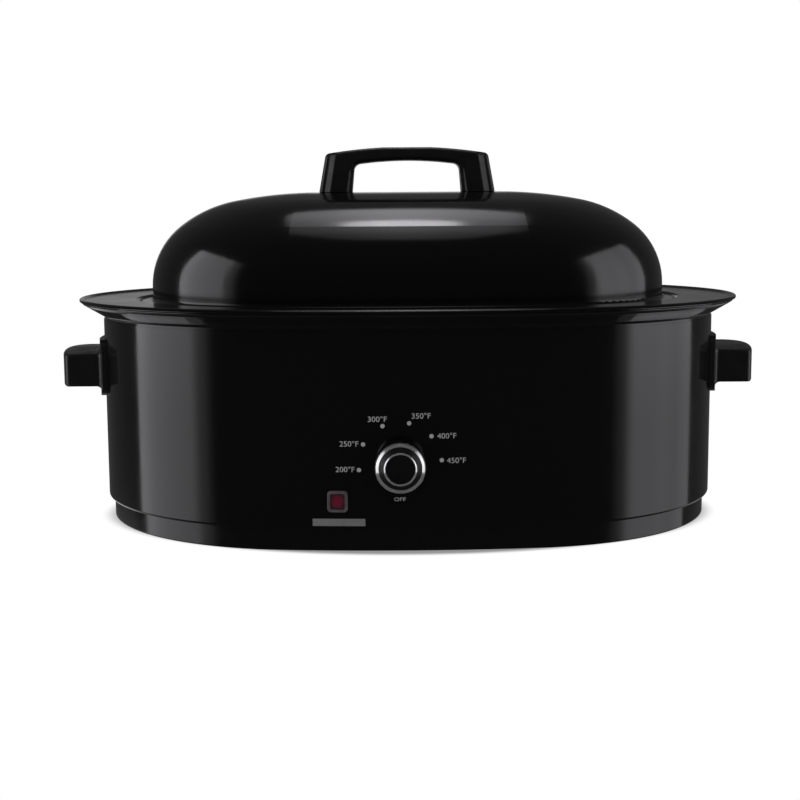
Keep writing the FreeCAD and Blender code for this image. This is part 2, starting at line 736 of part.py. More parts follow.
def side_handle():
    """Moulded right handle: a hood open beneath for the fingers, on a pad that follows the wall."""
    low = GRIP_TOP - GRIP_HEIGHT
    hood = grip_block(0)
    corners = [e for e in hood.Edges if e.BoundBox.XMin > HALF_LENGTH and e.BoundBox.YLength < 1e-6]
    hood = hood.makeFillet(GRIP_CORNER, corners)
    upper = [e for e in hood.Edges if e.BoundBox.ZMin > low + GRIP_HEIGHT / 2 and e.BoundBox.XMax > HALF_LENGTH]
    hood = hood.makeFillet(GRIP_EDGE, upper)
    bottom = [e for e in hood.Edges if e.BoundBox.ZMax < low + 1e-6 and e.BoundBox.XMax > HALF_LENGTH]
    hood = hood.makeFillet(GRIP_WALL / 3, bottom)
    outline = panel(PAD_LENGTH, PAD_HEIGHT, PAD_CORNER, 0, 2 * HALF_LENGTH, (0, PAD_TOP - PAD_HEIGHT / 2))
    outline.rotate(Vector(0, 0, 0), Z_AXIS, -90)
    pad = slab(PAD_DEPTH, PAD_TOP - PAD_HEIGHT - 1, PAD_TOP + 1).common(outline)
    solid = joined([hood, pad])
    root = []
    for edge in solid.Edges:
        at = edge.valueAt((edge.FirstParameter + edge.LastParameter) / 2)
        on_pad = abs(at.x - half_length_at(at.y, PAD_DEPTH)) < 1e-4
        if on_pad and abs(at.y) < GRIP_LENGTH / 2 + 1e-3 and low + 1e-3 < at.z < GRIP_TOP + 1e-3:
            root.append(edge)
    solid = solid.makeFillet(GRIP_ROOT, root)
    hollow = grip_block(GRIP_WALL).cut(slab(PAD_DEPTH, low - PAD_HEIGHT, GRIP_TOP + PAD_HEIGHT))
    bosses = at_handle_screws(handle_pin(BOSS_RADIUS, 0, GRIP_REACH - 4 * GRIP_WALL))
    solid = joined([solid.cut(hollow)] + bosses)
    solid = solid.cut(slab(SEAT, low - PAD_HEIGHT, GRIP_TOP + PAD_HEIGHT))
    bore = handle_pin(HANDLE_SCREW_RADIUS + SCREW_FIT, 0, HANDLE_SCREW_GRIP + BORE_RELIEF)
    return drilled(solid, at_handle_screws(bore))


def side_handle_screws():
    """Screws driven outward from inside the wrapper into the handles' bosses."""
    seat = Vector(HALF_LENGTH - SHEET - SEAT, 0, HANDLE_SCREW_Z)
    screws = []
    for screw in at_handle_screws(pan_screw(HANDLE_SCREW_RADIUS, SHEET + SEAT + HANDLE_SCREW_GRIP, seat, X_AXIS)):
        screws += [screw, screw.mirror(Vector(0, 0, 0), X_AXIS)]
    return Part.makeCompound(screws)


# ---- Controls -------------------------------------------------------------------------------------------------
def along_knob(corners, start):
    """A profile turned about the knob's axis, its height measured outward from start."""
    return turned(corners, Vector(CONTROL_X, start, KNOB_Z), Y_AXIS * -1)


def knob_body():
    """Moulded knob: a fluted, tapered side, a step for the bright ring, and a socket for the shaft."""
    recess = KNOB_LENGTH - CAP_DEPTH
    solid = along_knob(
        [
            (0, 0),
            (KNOB_BASE_RADIUS, 0),
            (KNOB_RADIUS, KNOB_GRIP),
            (RING_INNER_RADIUS - SEAT, KNOB_GRIP),
            (RING_INNER_RADIUS - SEAT, KNOB_FACE),
            (INNER_RING_RADIUS + SEAT, KNOB_LENGTH),
            (INNER_RING_RADIUS + SEAT, recess),
            (0, recess),
        ],
        KNOB_START,
    )
    flute_z = KNOB_Z + KNOB_RADIUS + FLUTE_RADIUS - FLUTE_DEPTH
    flute_end = Vector(CONTROL_X, KNOB_START - KNOB_GRIP, flute_z)
    flute = Part.makeCylinder(FLUTE_RADIUS, KNOB_GRIP - FLUTE_START, flute_end, Y_AXIS)
    flutes = []
    for i in range(FLUTE_COUNT):
        copy = flute.copy()
        copy.rotate(Vector(CONTROL_X, 0, KNOB_Z), Y_AXIS, (i + 0.5) * 360 / FLUTE_COUNT)
        flutes.append(copy)
    return drilled(solid, flutes + [driven_shaft(RUNNING, KNOB_FLOOR, KNOB_START)])


def knob_outer_ring():
    """Bright ring pressed on the knob's step, round its face."""
    return along_knob(
        [
            (RING_INNER_RADIUS, KNOB_GRIP + SEAT),
            (RING_OUTER_RADIUS, KNOB_GRIP + SEAT),
            (RING_OUTER_RADIUS, KNOB_FACE, RING_EDGE),
            (RING_INNER_RADIUS, KNOB_FACE),
        ],
        KNOB_START,
    )


def knob_inner_ring():
    """Bright ring let into the knob's face."""
    inner, top = INNER_RING_RADIUS - INNER_RING_WIDTH, CAP_DEPTH + INNER_RING_PROUD
    return along_knob(
        [
            (inner, 0),
            (INNER_RING_RADIUS, 0),
            (INNER_RING_RADIUS, top, INNER_RING_PROUD),
            (inner, top, INNER_RING_PROUD),
        ],
        KNOB_FLOOR,
    )


def knob_cap():
    """Face disc inside the ring, with a raised pointer that lies over the OFF mark at rest."""
    radius = INNER_RING_RADIUS - INNER_RING_WIDTH - SEAT
    disc = along_knob([(0, 0), (radius, 0), (radius, CAP_DEPTH - INNER_RING_PROUD), (0, CAP_DEPTH)], KNOB_FLOOR)
    low = KNOB_Z - radius + POINTER_WIDTH
    pointer = box(
        (CONTROL_X - POINTER_WIDTH / 2, CONTROL_X + POINTER_WIDTH / 2),
        (KNOB_FLOOR - CAP_DEPTH - POINTER_PROUD, KNOB_FLOOR - CAP_DEPTH / 2),
        (low, low + POINTER_LENGTH),
    )
    return joined([disc, pointer])


def driven_shaft(grow, end, start):
    """The shaft with its flat, from a start in y to its end, grown all round."""
    rod = Part.makeCylinder(SHAFT_RADIUS + grow, start - end, Vector(CONTROL_X, end, KNOB_Z), Y_AXIS)
    flat = KNOB_Z + SHAFT_FLAT + grow
    beyond = (flat, flat + 2 * SHAFT_RADIUS)
    return rod.cut(box((CONTROL_X - 2 * SHAFT_RADIUS, CONTROL_X + 2 * SHAFT_RADIUS), (end, start), beyond))


def thermostat_shaft():
    """Turning shaft of the thermostat, with a flat where it drives the knob."""
    start = THERMOSTAT_FRONT + SHAFT_DEPTH
    rod = Part.makeCylinder(SHAFT_RADIUS, start - KNOB_START, Vector(CONTROL_X, KNOB_START, KNOB_Z), Y_AXIS)
    return joined([rod, driven_shaft(0, KNOB_FLOOR + SEAT, KNOB_START)])


def thermostat_body():
    """Thermostat case with side ears and a bush through the wrapper, bored for the shaft."""
    centre = (CONTROL_X, KNOB_Z)
    case = panel(
        THERMOSTAT_WIDTH, THERMOSTAT_HEIGHT, THERMOSTAT_CORNER, THERMOSTAT_FRONT, THERMOSTAT_BACK, centre
    )
    ears_front = THERMOSTAT_BACK - EAR_THICKNESS
    ears = panel(THERMOSTAT_WIDTH + 2 * EAR_REACH, EAR_HEIGHT, EAR_CORNER, ears_front, THERMOSTAT_BACK, centre)
    bush_end = -HALF_DEPTH + SHEET / 2
    bush = Part.makeCylinder(BUSH_RADIUS, THERMOSTAT_FRONT - bush_end, Vector(CONTROL_X, bush_end, KNOB_Z), Y_AXIS)
    depth = THERMOSTAT_FRONT + SHAFT_DEPTH + SEAT - bush_end
    bore = Part.makeCylinder(SHAFT_RADIUS + RUNNING, depth, Vector(CONTROL_X, bush_end, KNOB_Z), Y_AXIS)
    return drilled(joined([case, ears, bush]), [bore] + thermostat_screw_holes())


def thermostat_screw_places():
    """The x of each screw through the thermostat's ears."""
    half = (THERMOSTAT_WIDTH + EAR_REACH) / 2
    return [CONTROL_X - half, CONTROL_X + half]


def thermostat_screw_holes():
    """Cylinders that clear the screws, through the ears and the bracket."""
    start = THERMOSTAT_BACK - 2 * EAR_THICKNESS
    length = 2 * EAR_THICKNESS + 2 * BRACKET_THICKNESS
    radius = THERMOSTAT_SCREW_RADIUS + SCREW_FIT
    return [Part.makeCylinder(radius, length, Vector(x, start, KNOB_Z), Y_AXIS) for x in thermostat_screw_places()]


def thermostat_bracket():
    """Strip spot-welded to the liner that carries the thermostat and feels the liner's heat."""
    back = THERMOSTAT_BACK + BRACKET_THICKNESS
    strip = panel(BRACKET_WIDTH, BRACKET_HEIGHT, EAR_CORNER, THERMOSTAT_BACK, back, (CONTROL_X, KNOB_Z))
    return drilled(strip, thermostat_screw_holes())


def thermostat_screws():
    """Two short screws through the ears into the bracket."""
    grip = EAR_THICKNESS + BRACKET_THICKNESS
    screws = []
    for x in thermostat_screw_places():
        seat = Vector(x, THERMOSTAT_BACK - EAR_THICKNESS, KNOB_Z)
        screws.append(pan_screw(THERMOSTAT_SCREW_RADIUS, grip, seat, Y_AXIS))
    return Part.makeCompound(screws)


def lamp_bezel():
    """Moulded frame round the lamp's window."""
    front = -HALF_DEPTH - BEZEL_PROUD
    frame = panel(BEZEL_WIDTH, BEZEL_HEIGHT, BEZEL_CORNER, front, -HALF_DEPTH - SEAT, (0, LAMP_Z))
    rim = [e for e in frame.Edges if e.BoundBox.YMax < front + 1e-6]
    frame = frame.makeFillet(BEZEL_EDGE, rim)
    return on_front(frame.cut(window(0, front - BEZEL_PROUD, -HALF_DEPTH)), LAMP_X)


def lamp_lens():
    """Red lens of the heating lamp, hollow behind for the bulb."""
    front, back = -HALF_DEPTH - LENS_PROUD, -HALF_DEPTH + LENS_DEPTH
    hollow = window(-SEAT - LENS_SKIN, front + LENS_SKIN, back + LENS_SKIN)
    return on_front(window(-SEAT, front, back).cut(hollow), LAMP_X)


def well_floor():
    """Depth behind the wall's face of the floor of the holder's well."""
    return LENS_DEPTH + LENS_SKIN + SEAT


def lamp_bulb():
    """Neon bulb inside the lens, on the holder's floor."""
    length = well_floor() - SEAT - LENS_SKIN
    tip = BULB_RADIUS / 2
    profile = [(0, 0), (BULB_RADIUS, 0), (BULB_RADIUS, length - tip), (tip, length), (0, length)]
    bulb = turned(profile, Vector(0, -HALF_DEPTH + well_floor(), LAMP_Z), Y_AXIS * -1)
    return on_front(bulb, LAMP_X)


def lamp_holder():
    """Cup behind the wrapper that clips the lens and carries the bulb and its tags."""
    y_front = -HALF_DEPTH + SHEET + SEAT
    y_back = y_front + HOLDER_DEPTH
    cup = panel(BEZEL_WIDTH, BEZEL_HEIGHT, BEZEL_CORNER, y_front, y_back, (0, LAMP_Z))
    cup = cup.cut(window(SEAT, y_front, -HALF_DEPTH + well_floor()))
    tags = []
    for side in (-1, 1):
        x = side * TAG_SPREAD
        tag_x = (x - TAG_THICKNESS / 2, x + TAG_THICKNESS / 2)
        tag_z = (LAMP_Z - TAG_WIDTH / 2, LAMP_Z + TAG_WIDTH / 2)
        tags.append(box(tag_x, (y_back - SHEET, y_back + TAG_LENGTH), tag_z))
    return on_front(joined([cup] + tags), LAMP_X)


def cord_gland():
    """Moulded bush in the rear wall, with a straight bore for the supply cord."""
    wall = SHEET + 2 * SEAT
    proud = GLAND_LENGTH - wall - GLAND_TAIL
    profile = [
        (GLAND_BORE_RADIUS, -wall - GLAND_TAIL),
        (GLAND_BARREL_RADIUS - GLAND_EDGE, -wall - GLAND_TAIL),
        (GLAND_BARREL_RADIUS + GLAND_BARB, -wall),
        (GLAND_BARREL_RADIUS, -wall),
        (GLAND_BARREL_RADIUS, 0),
        (GLAND_FLANGE_RADIUS, 0),
        (GLAND_FLANGE_RADIUS, GLAND_FLANGE - GLAND_EDGE),
        (GLAND_FLANGE_RADIUS - GLAND_EDGE, GLAND_FLANGE),
        (GLAND_BARREL_RADIUS, GLAND_FLANGE),
        (GLAND_BARREL_RADIUS - GLAND_EDGE, proud),
        (GLAND_BORE_RADIUS, proud),
    ]
    return turned(profile, Vector(0, HALF_DEPTH + SEAT, GLAND_Z), Y_AXIS)


# ---- Wiring ---------------------------------------------------------------------------------------------------
def terminal_block():
    """Two-way ceramic block on the bottom plate, where the supply cord's leads end."""
    block = box(
        (CONTROL_X - BLOCK_WIDTH / 2, CONTROL_X + BLOCK_WIDTH / 2),
        (BLOCK_Y - BLOCK_DEPTH / 2, BLOCK_Y + BLOCK_DEPTH / 2),
        (PLATE_TOP, PLATE_TOP + BLOCK_HEIGHT),
    )
    slots = []
    for side in (-1, 1):
        x = CONTROL_X + side * WIRE_SPREAD
        at = Vector(x, BLOCK_Y, PLATE_TOP + BLOCK_HEIGHT - TERMINAL_DEPTH)
        slots.append(Part.makeCylinder(TERMINAL_RADIUS, TERMINAL_DEPTH, at))
    return drilled(block, slots)


def wire_harness():
    """Insulated leads: supply to thermostat, thermostat to heater straps, and thermostat to lamp."""
    wires = []
    bend, run = 2.4 * WIRE_RADIUS, 5 * WIRE_RADIUS
    low_z = PLATE_TOP + 1.4 * WIRE_RADIUS
    block_z = PLATE_TOP + BLOCK_HEIGHT / 2
    block_front = BLOCK_Y - BLOCK_DEPTH / 2
    case_bottom = KNOB_Z - THERMOSTAT_HEIGHT / 2
    case_top = KNOB_Z + THERMOSTAT_HEIGHT / 2
    for side in (-1, 1):
        x = CONTROL_X + side * WIRE_SPREAD
        supply = [
            Vector(x, block_front, block_z),
            Vector(x, block_front - run - 2 * WIRE_RADIUS, block_z),
            Vector(x, block_front - 2 * run - 2 * WIRE_RADIUS, low_z),
            Vector(x, WIRE_Y, low_z),
            Vector(x, WIRE_Y, case_bottom),
        ]
        wires.append(bent_wire(supply, WIRE_RADIUS, bend))
        strap_x = CONTROL_X + side * (RIBBON_GAP / 2 + CLIP_WIDTH / 2)
        strap_y = -half_depth_at(strap_x, CLIP_FACE) - WIRE_RADIUS - SEAT
        heater = [
            Vector(x, WIRE_Y, case_top),
            Vector(x, WIRE_Y, case_top + run),
            Vector(strap_x, strap_y, WRAP_BOTTOM - WIRE_RADIUS - run),
            Vector(strap_x, strap_y, WRAP_BOTTOM - WIRE_RADIUS),
        ]
        wires.append(bent_wire(heater, WIRE_RADIUS, 2 * bend / 3))
    lamp_radius = 0.8 * WIRE_RADIUS
    tag_end = -HALF_DEPTH + SHEET + SEAT + HOLDER_DEPTH + TAG_LENGTH
    case_side = CONTROL_X - THERMOSTAT_WIDTH / 2
    for side in (-1, 1):
        start = front_point(LAMP_X, side * TAG_SPREAD, tag_end + SEAT, LAMP_Z)
        turn = start + Vector(0, 3 * lamp_radius, 0)
        z = case_bottom + (4 + 2 * side) * lamp_radius
        lead = [start, turn, Vector(case_side - run, turn.y, z), Vector(case_side, turn.y, z)]
        wires.append(bent_wire(lead, lamp_radius, bend / 2))
    return Part.makeCompound(wires)


# ---- Cookwell and rack ----------------------------------------------------------------------------------------
def cookwell():
    """Enamelled lift-out pan: flat brim with a curled bead, a ledge for the lid, tapered walls."""
    t = PAN_SHEET
    ledge_in = -LEDGE_OUTER - LEDGE_SLOPE
    floor_offset = -PAN_INSET - PAN_TAPER
    bead_top = BRIM_TOP + BEAD_PROUD
    bead_bottom = bead_top - BEAD_HEIGHT
    curl = 0.49 * BEAD_HEIGHT
    ramp_out = BRIM_REACH - BEAD_HEIGHT + t
    ramp_in = ramp_out - BEAD_RAMP
    return tub(
        path(
            [
                (-PAD_INSET - PAN_CORNER, PAN_FLOOR_TOP),
                (floor_offset, PAN_FLOOR_TOP, PAN_CORNER),
                (-PAN_INSET, LEDGE_TOP, MOUTH_BEND + t),
                (ledge_in, LEDGE_TOP, LEDGE_BEND),
                (-LEDGE_OUTER, BRIM_TOP, STEP_BEND + t),
                (ramp_in, BRIM_TOP, BEAD_BEND),
                (ramp_out, bead_top, BEAD_BEND),
                (BRIM_REACH, bead_top, curl),
                (BRIM_REACH, bead_bottom, curl),
                (BRIM_REACH - curl, bead_bottom),
                (BRIM_REACH - curl, bead_bottom + t),
                (BRIM_REACH - t, bead_bottom + t, curl - t),
                (BRIM_REACH - t, bead_top - t, curl - t),
                (ramp_out + t / 2, bead_top - t),
                (ramp_in + t / 2, BRIM_BOTTOM),
                (-LEDGE_OUTER + t, BRIM_BOTTOM, STEP_BEND),
                (ledge_in + t, LEDGE_TOP - t, LEDGE_BEND + t),
                (-PAN_INSET + t, LEDGE_TOP - t, MOUTH_BEND),
                (floor_offset + t, PAN_FLOOR, PAN_CORNER + t),
                (-PAD_INSET - PAN_CORNER, PAN_FLOOR),
            ],
            closed=False,
        )
    )


def rack_level():
    """Height of the rack's frame wire."""
    return PAN_FLOOR_TOP + LIFT_GAP + RACK_HEIGHT - FRAME_WIRE_RADIUS


def rack_frame():
    """Oval frame wire with two thinner rails across it, and four legs bent from thinner wire still."""
    z = rack_level()
    circle = Part.Wire(Part.makeCircle(FRAME_WIRE_RADIUS, Vector(-RACK_INSET, 0, z), Y_AXIS))
    parts = [sewn(swept(circle.Edges))]
    rail_y = HALF_DEPTH / 3
    rail_half = half_length_at(rail_y, -RACK_INSET)
    leg_x = CROSS_WIRE_PITCH * (CROSS_WIRE_COUNT // 2 - 1)
    low = PAN_FLOOR_TOP + LIFT_GAP + LEG_WIRE_RADIUS
    for side in (-1, 1):
        y_near, y_far = side * rail_y, side * half_depth_at(leg_x, -RACK_INSET)
        parts.append(Part.makeCylinder(RAIL_WIRE_RADIUS, 2 * rail_half, Vector(-rail_half, y_near, z), X_AXIS))
        for x in (-leg_x, leg_x):
            leg = [Vector(x, y_near, z), Vector(x, y_near, low), Vector(x, y_far, low), Vector(x, y_far, z)]
            parts.append(bent_wire(leg, LEG_WIRE_RADIUS, 2 * LEG_WIRE_RADIUS))
    return joined(parts)


def rack_wires():
    """Straight cross wires welded on top of the frame and rails."""
    z = rack_level() + FRAME_WIRE_RADIUS + CROSS_WIRE_RADIUS
    wires = []
    for i in range(CROSS_WIRE_COUNT):
        x = (i - (CROSS_WIRE_COUNT - 1) / 2) * CROSS_WIRE_PITCH
        reach = half_depth_at(x, -RACK_INSET)
        wires.append(Part.makeCylinder(CROSS_WIRE_RADIUS, 2 * reach, Vector(x, -reach, z), Y_AXIS))
    return Part.makeCompound(wires)


def rack_handles():
    """Upright wire loops at the rack's ends, for lifting it out."""
    low = rack_level() + FRAME_WIRE_RADIUS + SEAT
    half = RACK_HANDLE_WIDTH / 2
    x = half_length_at(half, -RACK_INSET)
    loops = []
    for side in (-1, 1):
        points = [
            Vector(side * x, -half, low),
            Vector(side * x, -half, low + RACK_HANDLE_RISE),
            Vector(side * x, half, low + RACK_HANDLE_RISE),
            Vector(side * x, half, low),
        ]
        loops.append(bent_wire(points, FRAME_WIRE_RADIUS, RACK_HANDLE_BEND))
    return Part.makeCompound(loops)


# ---- Lid ------------------------------------------------------------------------------------------------------
def dome_arcs(skin):
    """Three tangent arcs from the top of the lid's wall to the edge of its crown, at a depth in its sheet."""
    span = END_RADIUS - LID_INSET - CROWN_RADIUS + CROWN_EASE
    first, second = math.radians(SHOULDER_ANGLE), math.radians(BROW_ANGLE)
    across = span - SHOULDER_RADIUS * (1 - math.cos(first))
    up = DOME_RISE - SHOULDER_RADIUS * math.sin(first)
    fall_1, fall_2 = math.cos(first) - math.cos(second), math.cos(second)
    climb_1, climb_2 = math.sin(second) - math.sin(first), 1 - math.sin(second)
    share = fall_1 * climb_2 - fall_2 * climb_1
    brow_radius = (across * climb_2 - up * fall_2) / share
    crown_radius = (up * fall_1 - across * climb_1) / share
    last = math.acos(CROWN_EASE / (crown_radius - skin))
    arcs = []
    at = Vector(-LID_INSET - skin, 0, LID_SPRING)
    for radius, start, end in (
        (SHOULDER_RADIUS, 0, first),
        (brow_radius, first, second),
        (crown_radius, second, last),
    ):
        middle = (start + end) / 2
        centre = at + Vector(-math.cos(start), 0, -math.sin(start)) * (radius - skin)
        stops = []
        for angle in (start, middle, end):
            stops.append(centre + Vector(math.cos(angle), 0, math.sin(angle)) * (radius - skin))
        arcs.append(Part.Arc(*stops).toShape())
        at = stops[-1]
    return arcs


def crown_height(skin):
    """Height of the flat crown, at a depth in the lid's sheet."""
    return dome_arcs(skin)[-1].Vertexes[-1].Z


def lid_dome():
    """Enamelled dome, one sheet, with a flange and a turned-down edge that sits on the cookwell's ledge."""
    t = LID_SHEET
    foot_z = LEDGE_TOP + LIFT_GAP
    flange_top = foot_z + 2 * t
    wall, edge = -LID_INSET, -LID_INSET + LID_FLANGE
    outer = dome_arcs(0)
    inner = dome_arcs(t)
    skirt = path(
        [
            (wall, LID_SPRING),
            (wall, flange_top, LID_NECK_BEND),
            (edge, flange_top, LID_EDGE_BEND + t),
            (edge, foot_z),
            (edge - t, foot_z),
            (edge - t, flange_top - t, LID_EDGE_BEND),
            (wall - t, flange_top - t, LID_NECK_BEND + t),
            (wall - t, LID_SPRING),
        ],
        closed=False,
    )
    faces = swept(skirt) + swept(outer) + swept(inner)
    for skin in (0, t):
        faces.append(oval_face(CROWN_RADIUS - END_RADIUS, crown_height(skin)))
    dome = sewn(faces)
    holes = []
    for side in (-1, 1):
        holes.append(
            Part.makeCylinder(LID_SCREW_RADIUS + SCREW_FIT, DOME_RISE, Vector(side * LID_SCREW_X, 0, LID_SPRING))
        )
    return drilled(dome, holes)


def lid_handle():
    """Moulded bail: two spread legs and a gently arched bar, thinner from front to back at the top."""
    base = crown_height(0) + SEAT
    inner_foot = HANDLE_FOOT_HALF - HANDLE_LEG
    inner_top = inner_foot - HANDLE_LEAN
    under = HANDLE_SHOULDER - HANDLE_BAR
    top_slope = 2 * HANDLE_ARCH / HANDLE_TOP_HALF
    top_radius = (HANDLE_TOP_HALF - 1.4 * HANDLE_CORNER) / top_slope
    under_slope = HANDLE_ARCH / inner_top
    under_radius = (inner_top - 1.4 * HANDLE_INNER_CORNER) / under_slope
    outline = [
        (-HANDLE_FOOT_HALF, base),
        (-HANDLE_TOP_HALF, HANDLE_SHOULDER, HANDLE_CORNER),
        (0, HANDLE_SHOULDER + 2 * HANDLE_ARCH, top_radius),
        (HANDLE_TOP_HALF, HANDLE_SHOULDER, HANDLE_CORNER),
        (HANDLE_FOOT_HALF, base),
        (inner_foot, base),
        (inner_top, under, HANDLE_INNER_CORNER),
        (0, under + HANDLE_ARCH, under_radius),
        (-inner_top, under, HANDLE_INNER_CORNER),
        (-inner_foot, base),
    ]
    bail = prism(outline, -HANDLE_DEPTH / 2, HANDLE_DEPTH / 2)
    side_view = [
        (-HANDLE_DEPTH / 2, base),
        (HANDLE_DEPTH / 2, base),
        (HANDLE_TOP_DEPTH / 2, HANDLE_TOP),
        (-HANDLE_TOP_DEPTH / 2, HANDLE_TOP),
    ]
    taper = prism(side_view, -HANDLE_FOOT_HALF, HANDLE_FOOT_HALF)
    taper.rotate(Vector(0, 0, 0), Z_AXIS, 90)
    bail = bail.common(taper)
    front_and_back = [e for e in bail.Edges if abs(e.CenterOfMass.y) > HANDLE_TOP_DEPTH / 4]
    bail = bail.makeFillet(HANDLE_EDGE, [e for e in front_and_back if e.BoundBox.ZMax > base + 1e-3])
    bores = []
    for side in (-1, 1):
        at = Vector(side * LID_SCREW_X, 0, base)
        bores.append(Part.makeCylinder(LID_SCREW_RADIUS + SCREW_FIT, LID_SCREW_GRIP + BORE_RELIEF, at))
    return drilled(bail, bores)


def lid_handle_washers():
    """Flat washers under the dome, between it and the screw heads."""
    washers = []
    top = crown_height(LID_SHEET) - SEAT
    for side in (-1, 1):
        at = Vector(side * LID_SCREW_X, 0, top - WASHER_THICKNESS)
        disc = Part.makeCylinder(WASHER_RADIUS, WASHER_THICKNESS, at)
        washers.append(disc.cut(Part.makeCylinder(LID_SCREW_RADIUS + SCREW_FIT, WASHER_THICKNESS, at)))
    return Part.makeCompound(washers)


def lid_handle_screws():
    """Screws from inside the lid, up through the washers into the handle's legs."""
    seat_z = crown_height(LID_SHEET) - 2 * SEAT - WASHER_THICKNESS
    grip = crown_height(0) + SEAT + LID_SCREW_GRIP - seat_z
    screws = [pan_screw(LID_SCREW_RADIUS, grip, Vector(side * LID_SCREW_X, 0, seat_z), Z_AXIS) for side in (-1, 1)]
    return Part.makeCompound(screws)


# ---- Nodes ----------------------------------------------------------------------------------------------------
wrapper_front, wrapper_rear = wrapper_halves()
right_handle = side_handle()
nodes = {
    "wrapper_front": wrapper_front,
    "wrapper_rear": wrapper_rear,
    "base_band": base_band(),
    "bottom_plate": bottom_plate(),
    "foot_front_left": foot(-FOOT_X, -FOOT_Y),
    "foot_front_right": foot(FOOT_X, -FOOT_Y),
    "foot_rear_left": foot(-FOOT_X, FOOT_Y),
    "foot_rear_right": foot(FOOT_X, FOOT_Y),
    "oven_liner": oven_liner(),
    "liner_posts": liner_posts(),
    "base_screws": base_screws(),
    "insulation_pad": insulation_pad(),
    "insulation_wrap": insulation_wrap(),
    "heater_band": heater_band(),
    "heating_ribbons": heating_ribbons(),
    "heater_clips": heater_clips(),
    "side_handle_right": right_handle,
    "side_handle_left": right_handle.mirror(Vector(0, 0, 0), X_AXIS),
    "side_handle_screws": side_handle_screws(),
    "thermostat_body": thermostat_body(),
    "thermostat_bracket": thermostat_bracket(),
    "thermostat_screws": thermostat_screws(),
    "thermostat_shaft": thermostat_shaft(),
    "knob_body": knob_body(),
    "knob_outer_ring": knob_outer_ring(),
    "knob_inner_ring": knob_inner_ring(),
    "knob_cap": knob_cap(),
    "lamp_bezel": lamp_bezel(),
    "lamp_lens": lamp_lens(),
    "lamp_bulb": lamp_bulb(),
    "lamp_holder": lamp_holder(),
    "cord_gland": cord_gland(),
    "terminal_block": terminal_block(),
    "wire_harness": wire_harness(),
    "cookwell": cookwell(),
    "rack_frame": rack_frame(),
    "rack_wires": rack_wires(),
    "rack_handles": rack_handles(),
    "lid_dome": lid_dome(),
    "lid_handle": lid_handle(),
    "lid_handle_washers": lid_handle_washers(),
    "lid_handle_screws": lid_handle_screws(),
}

os.makedirs("parts", exist_ok=True)
for name, shape in nodes.items():
    shape.exportStep("parts/" + name + ".step")
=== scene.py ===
import math

import bpy
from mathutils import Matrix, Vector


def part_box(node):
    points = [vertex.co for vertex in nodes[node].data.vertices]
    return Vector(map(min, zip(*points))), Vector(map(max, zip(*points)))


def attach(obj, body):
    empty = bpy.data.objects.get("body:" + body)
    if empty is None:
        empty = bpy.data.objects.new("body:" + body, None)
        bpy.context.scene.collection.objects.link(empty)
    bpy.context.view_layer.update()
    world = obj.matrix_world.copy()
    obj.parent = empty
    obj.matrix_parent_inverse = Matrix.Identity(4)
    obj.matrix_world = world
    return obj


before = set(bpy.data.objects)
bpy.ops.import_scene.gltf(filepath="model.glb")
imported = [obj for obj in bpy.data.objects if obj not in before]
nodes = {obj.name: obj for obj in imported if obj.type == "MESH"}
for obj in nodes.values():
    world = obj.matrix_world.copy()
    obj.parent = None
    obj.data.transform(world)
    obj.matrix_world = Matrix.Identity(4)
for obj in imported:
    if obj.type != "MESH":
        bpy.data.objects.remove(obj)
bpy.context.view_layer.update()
bpy.ops.object.select_all(action="DESELECT")

# ---- Camera ---------------------------------------------------------------------------------------------------
# A long lens on a stand 1.2 m in front of the oven. It is a little above the rim, square to the front and aimed
# slightly down at the dial.

CAMERA_PLACE = (-0.0154, -1.1949, 0.2510)
CAMERA_TURN = (82.41, 0.377, -0.46)
FRAME_WIDTH = 36
LENS_LENGTH = 64.17
bpy.ops.object.camera_add(location=CAMERA_PLACE, rotation=[math.radians(angle) for angle in CAMERA_TURN])
camera = bpy.context.object
camera.name = "camera"
camera.data.sensor_width = FRAME_WIDTH
camera.data.lens = LENS_LENGTH
bpy.context.scene.camera = camera
bpy.context.scene.view_settings.view_transform = "Standard"

# ---- Floor and studio -----------------------------------------------------------------------------------------
# A white table with a tall softbox at each side and one overhead that has a bright core. The backdrop is white just
# behind the oven and the table there is pale. The room at the sides and front is dim, which keeps black enamel black.

FLOOR_SIZE = 8.0
FOOTPRINT = (0.243, 0.166)
SHADOW_EDGE = (1.0, 1.07)
SHADOW_LEVEL = 0.25
bpy.ops.mesh.primitive_plane_add(size=FLOOR_SIZE, location=(0, 0, 0))
floor = bpy.context.object
floor.name = "floor"
floor.visible_glossy = False
floor.visible_shadow = False


def wire(tree, source, target):
    """Joins an output socket to an input socket."""
    tree.links.new(source, target)


def add_math(tree, operation, first, second):
    """A Math node on two values or sockets, and its output."""
    node = tree.nodes.new("ShaderNodeMath")
    node.operation = operation
    for socket, value in zip(node.inputs, (first, second)):
        if isinstance(value, bpy.types.NodeSocket):
            wire(tree, value, socket)
        else:
            socket.default_value = value
    return node.outputs[0]


def add_range(tree, value, low, high, to_low, to_high):
    """A smooth Map Range from one span of values to another, and its output."""
    node = tree.nodes.new("ShaderNodeMapRange")
    node.interpolation_type = "SMOOTHSTEP"
    for name, number in (("From Min", low), ("From Max", high), ("To Min", to_low), ("To Max", to_high)):
        node.inputs[name].default_value = number
    wire(tree, value, node.inputs["Value"])
    return node.outputs["Result"]


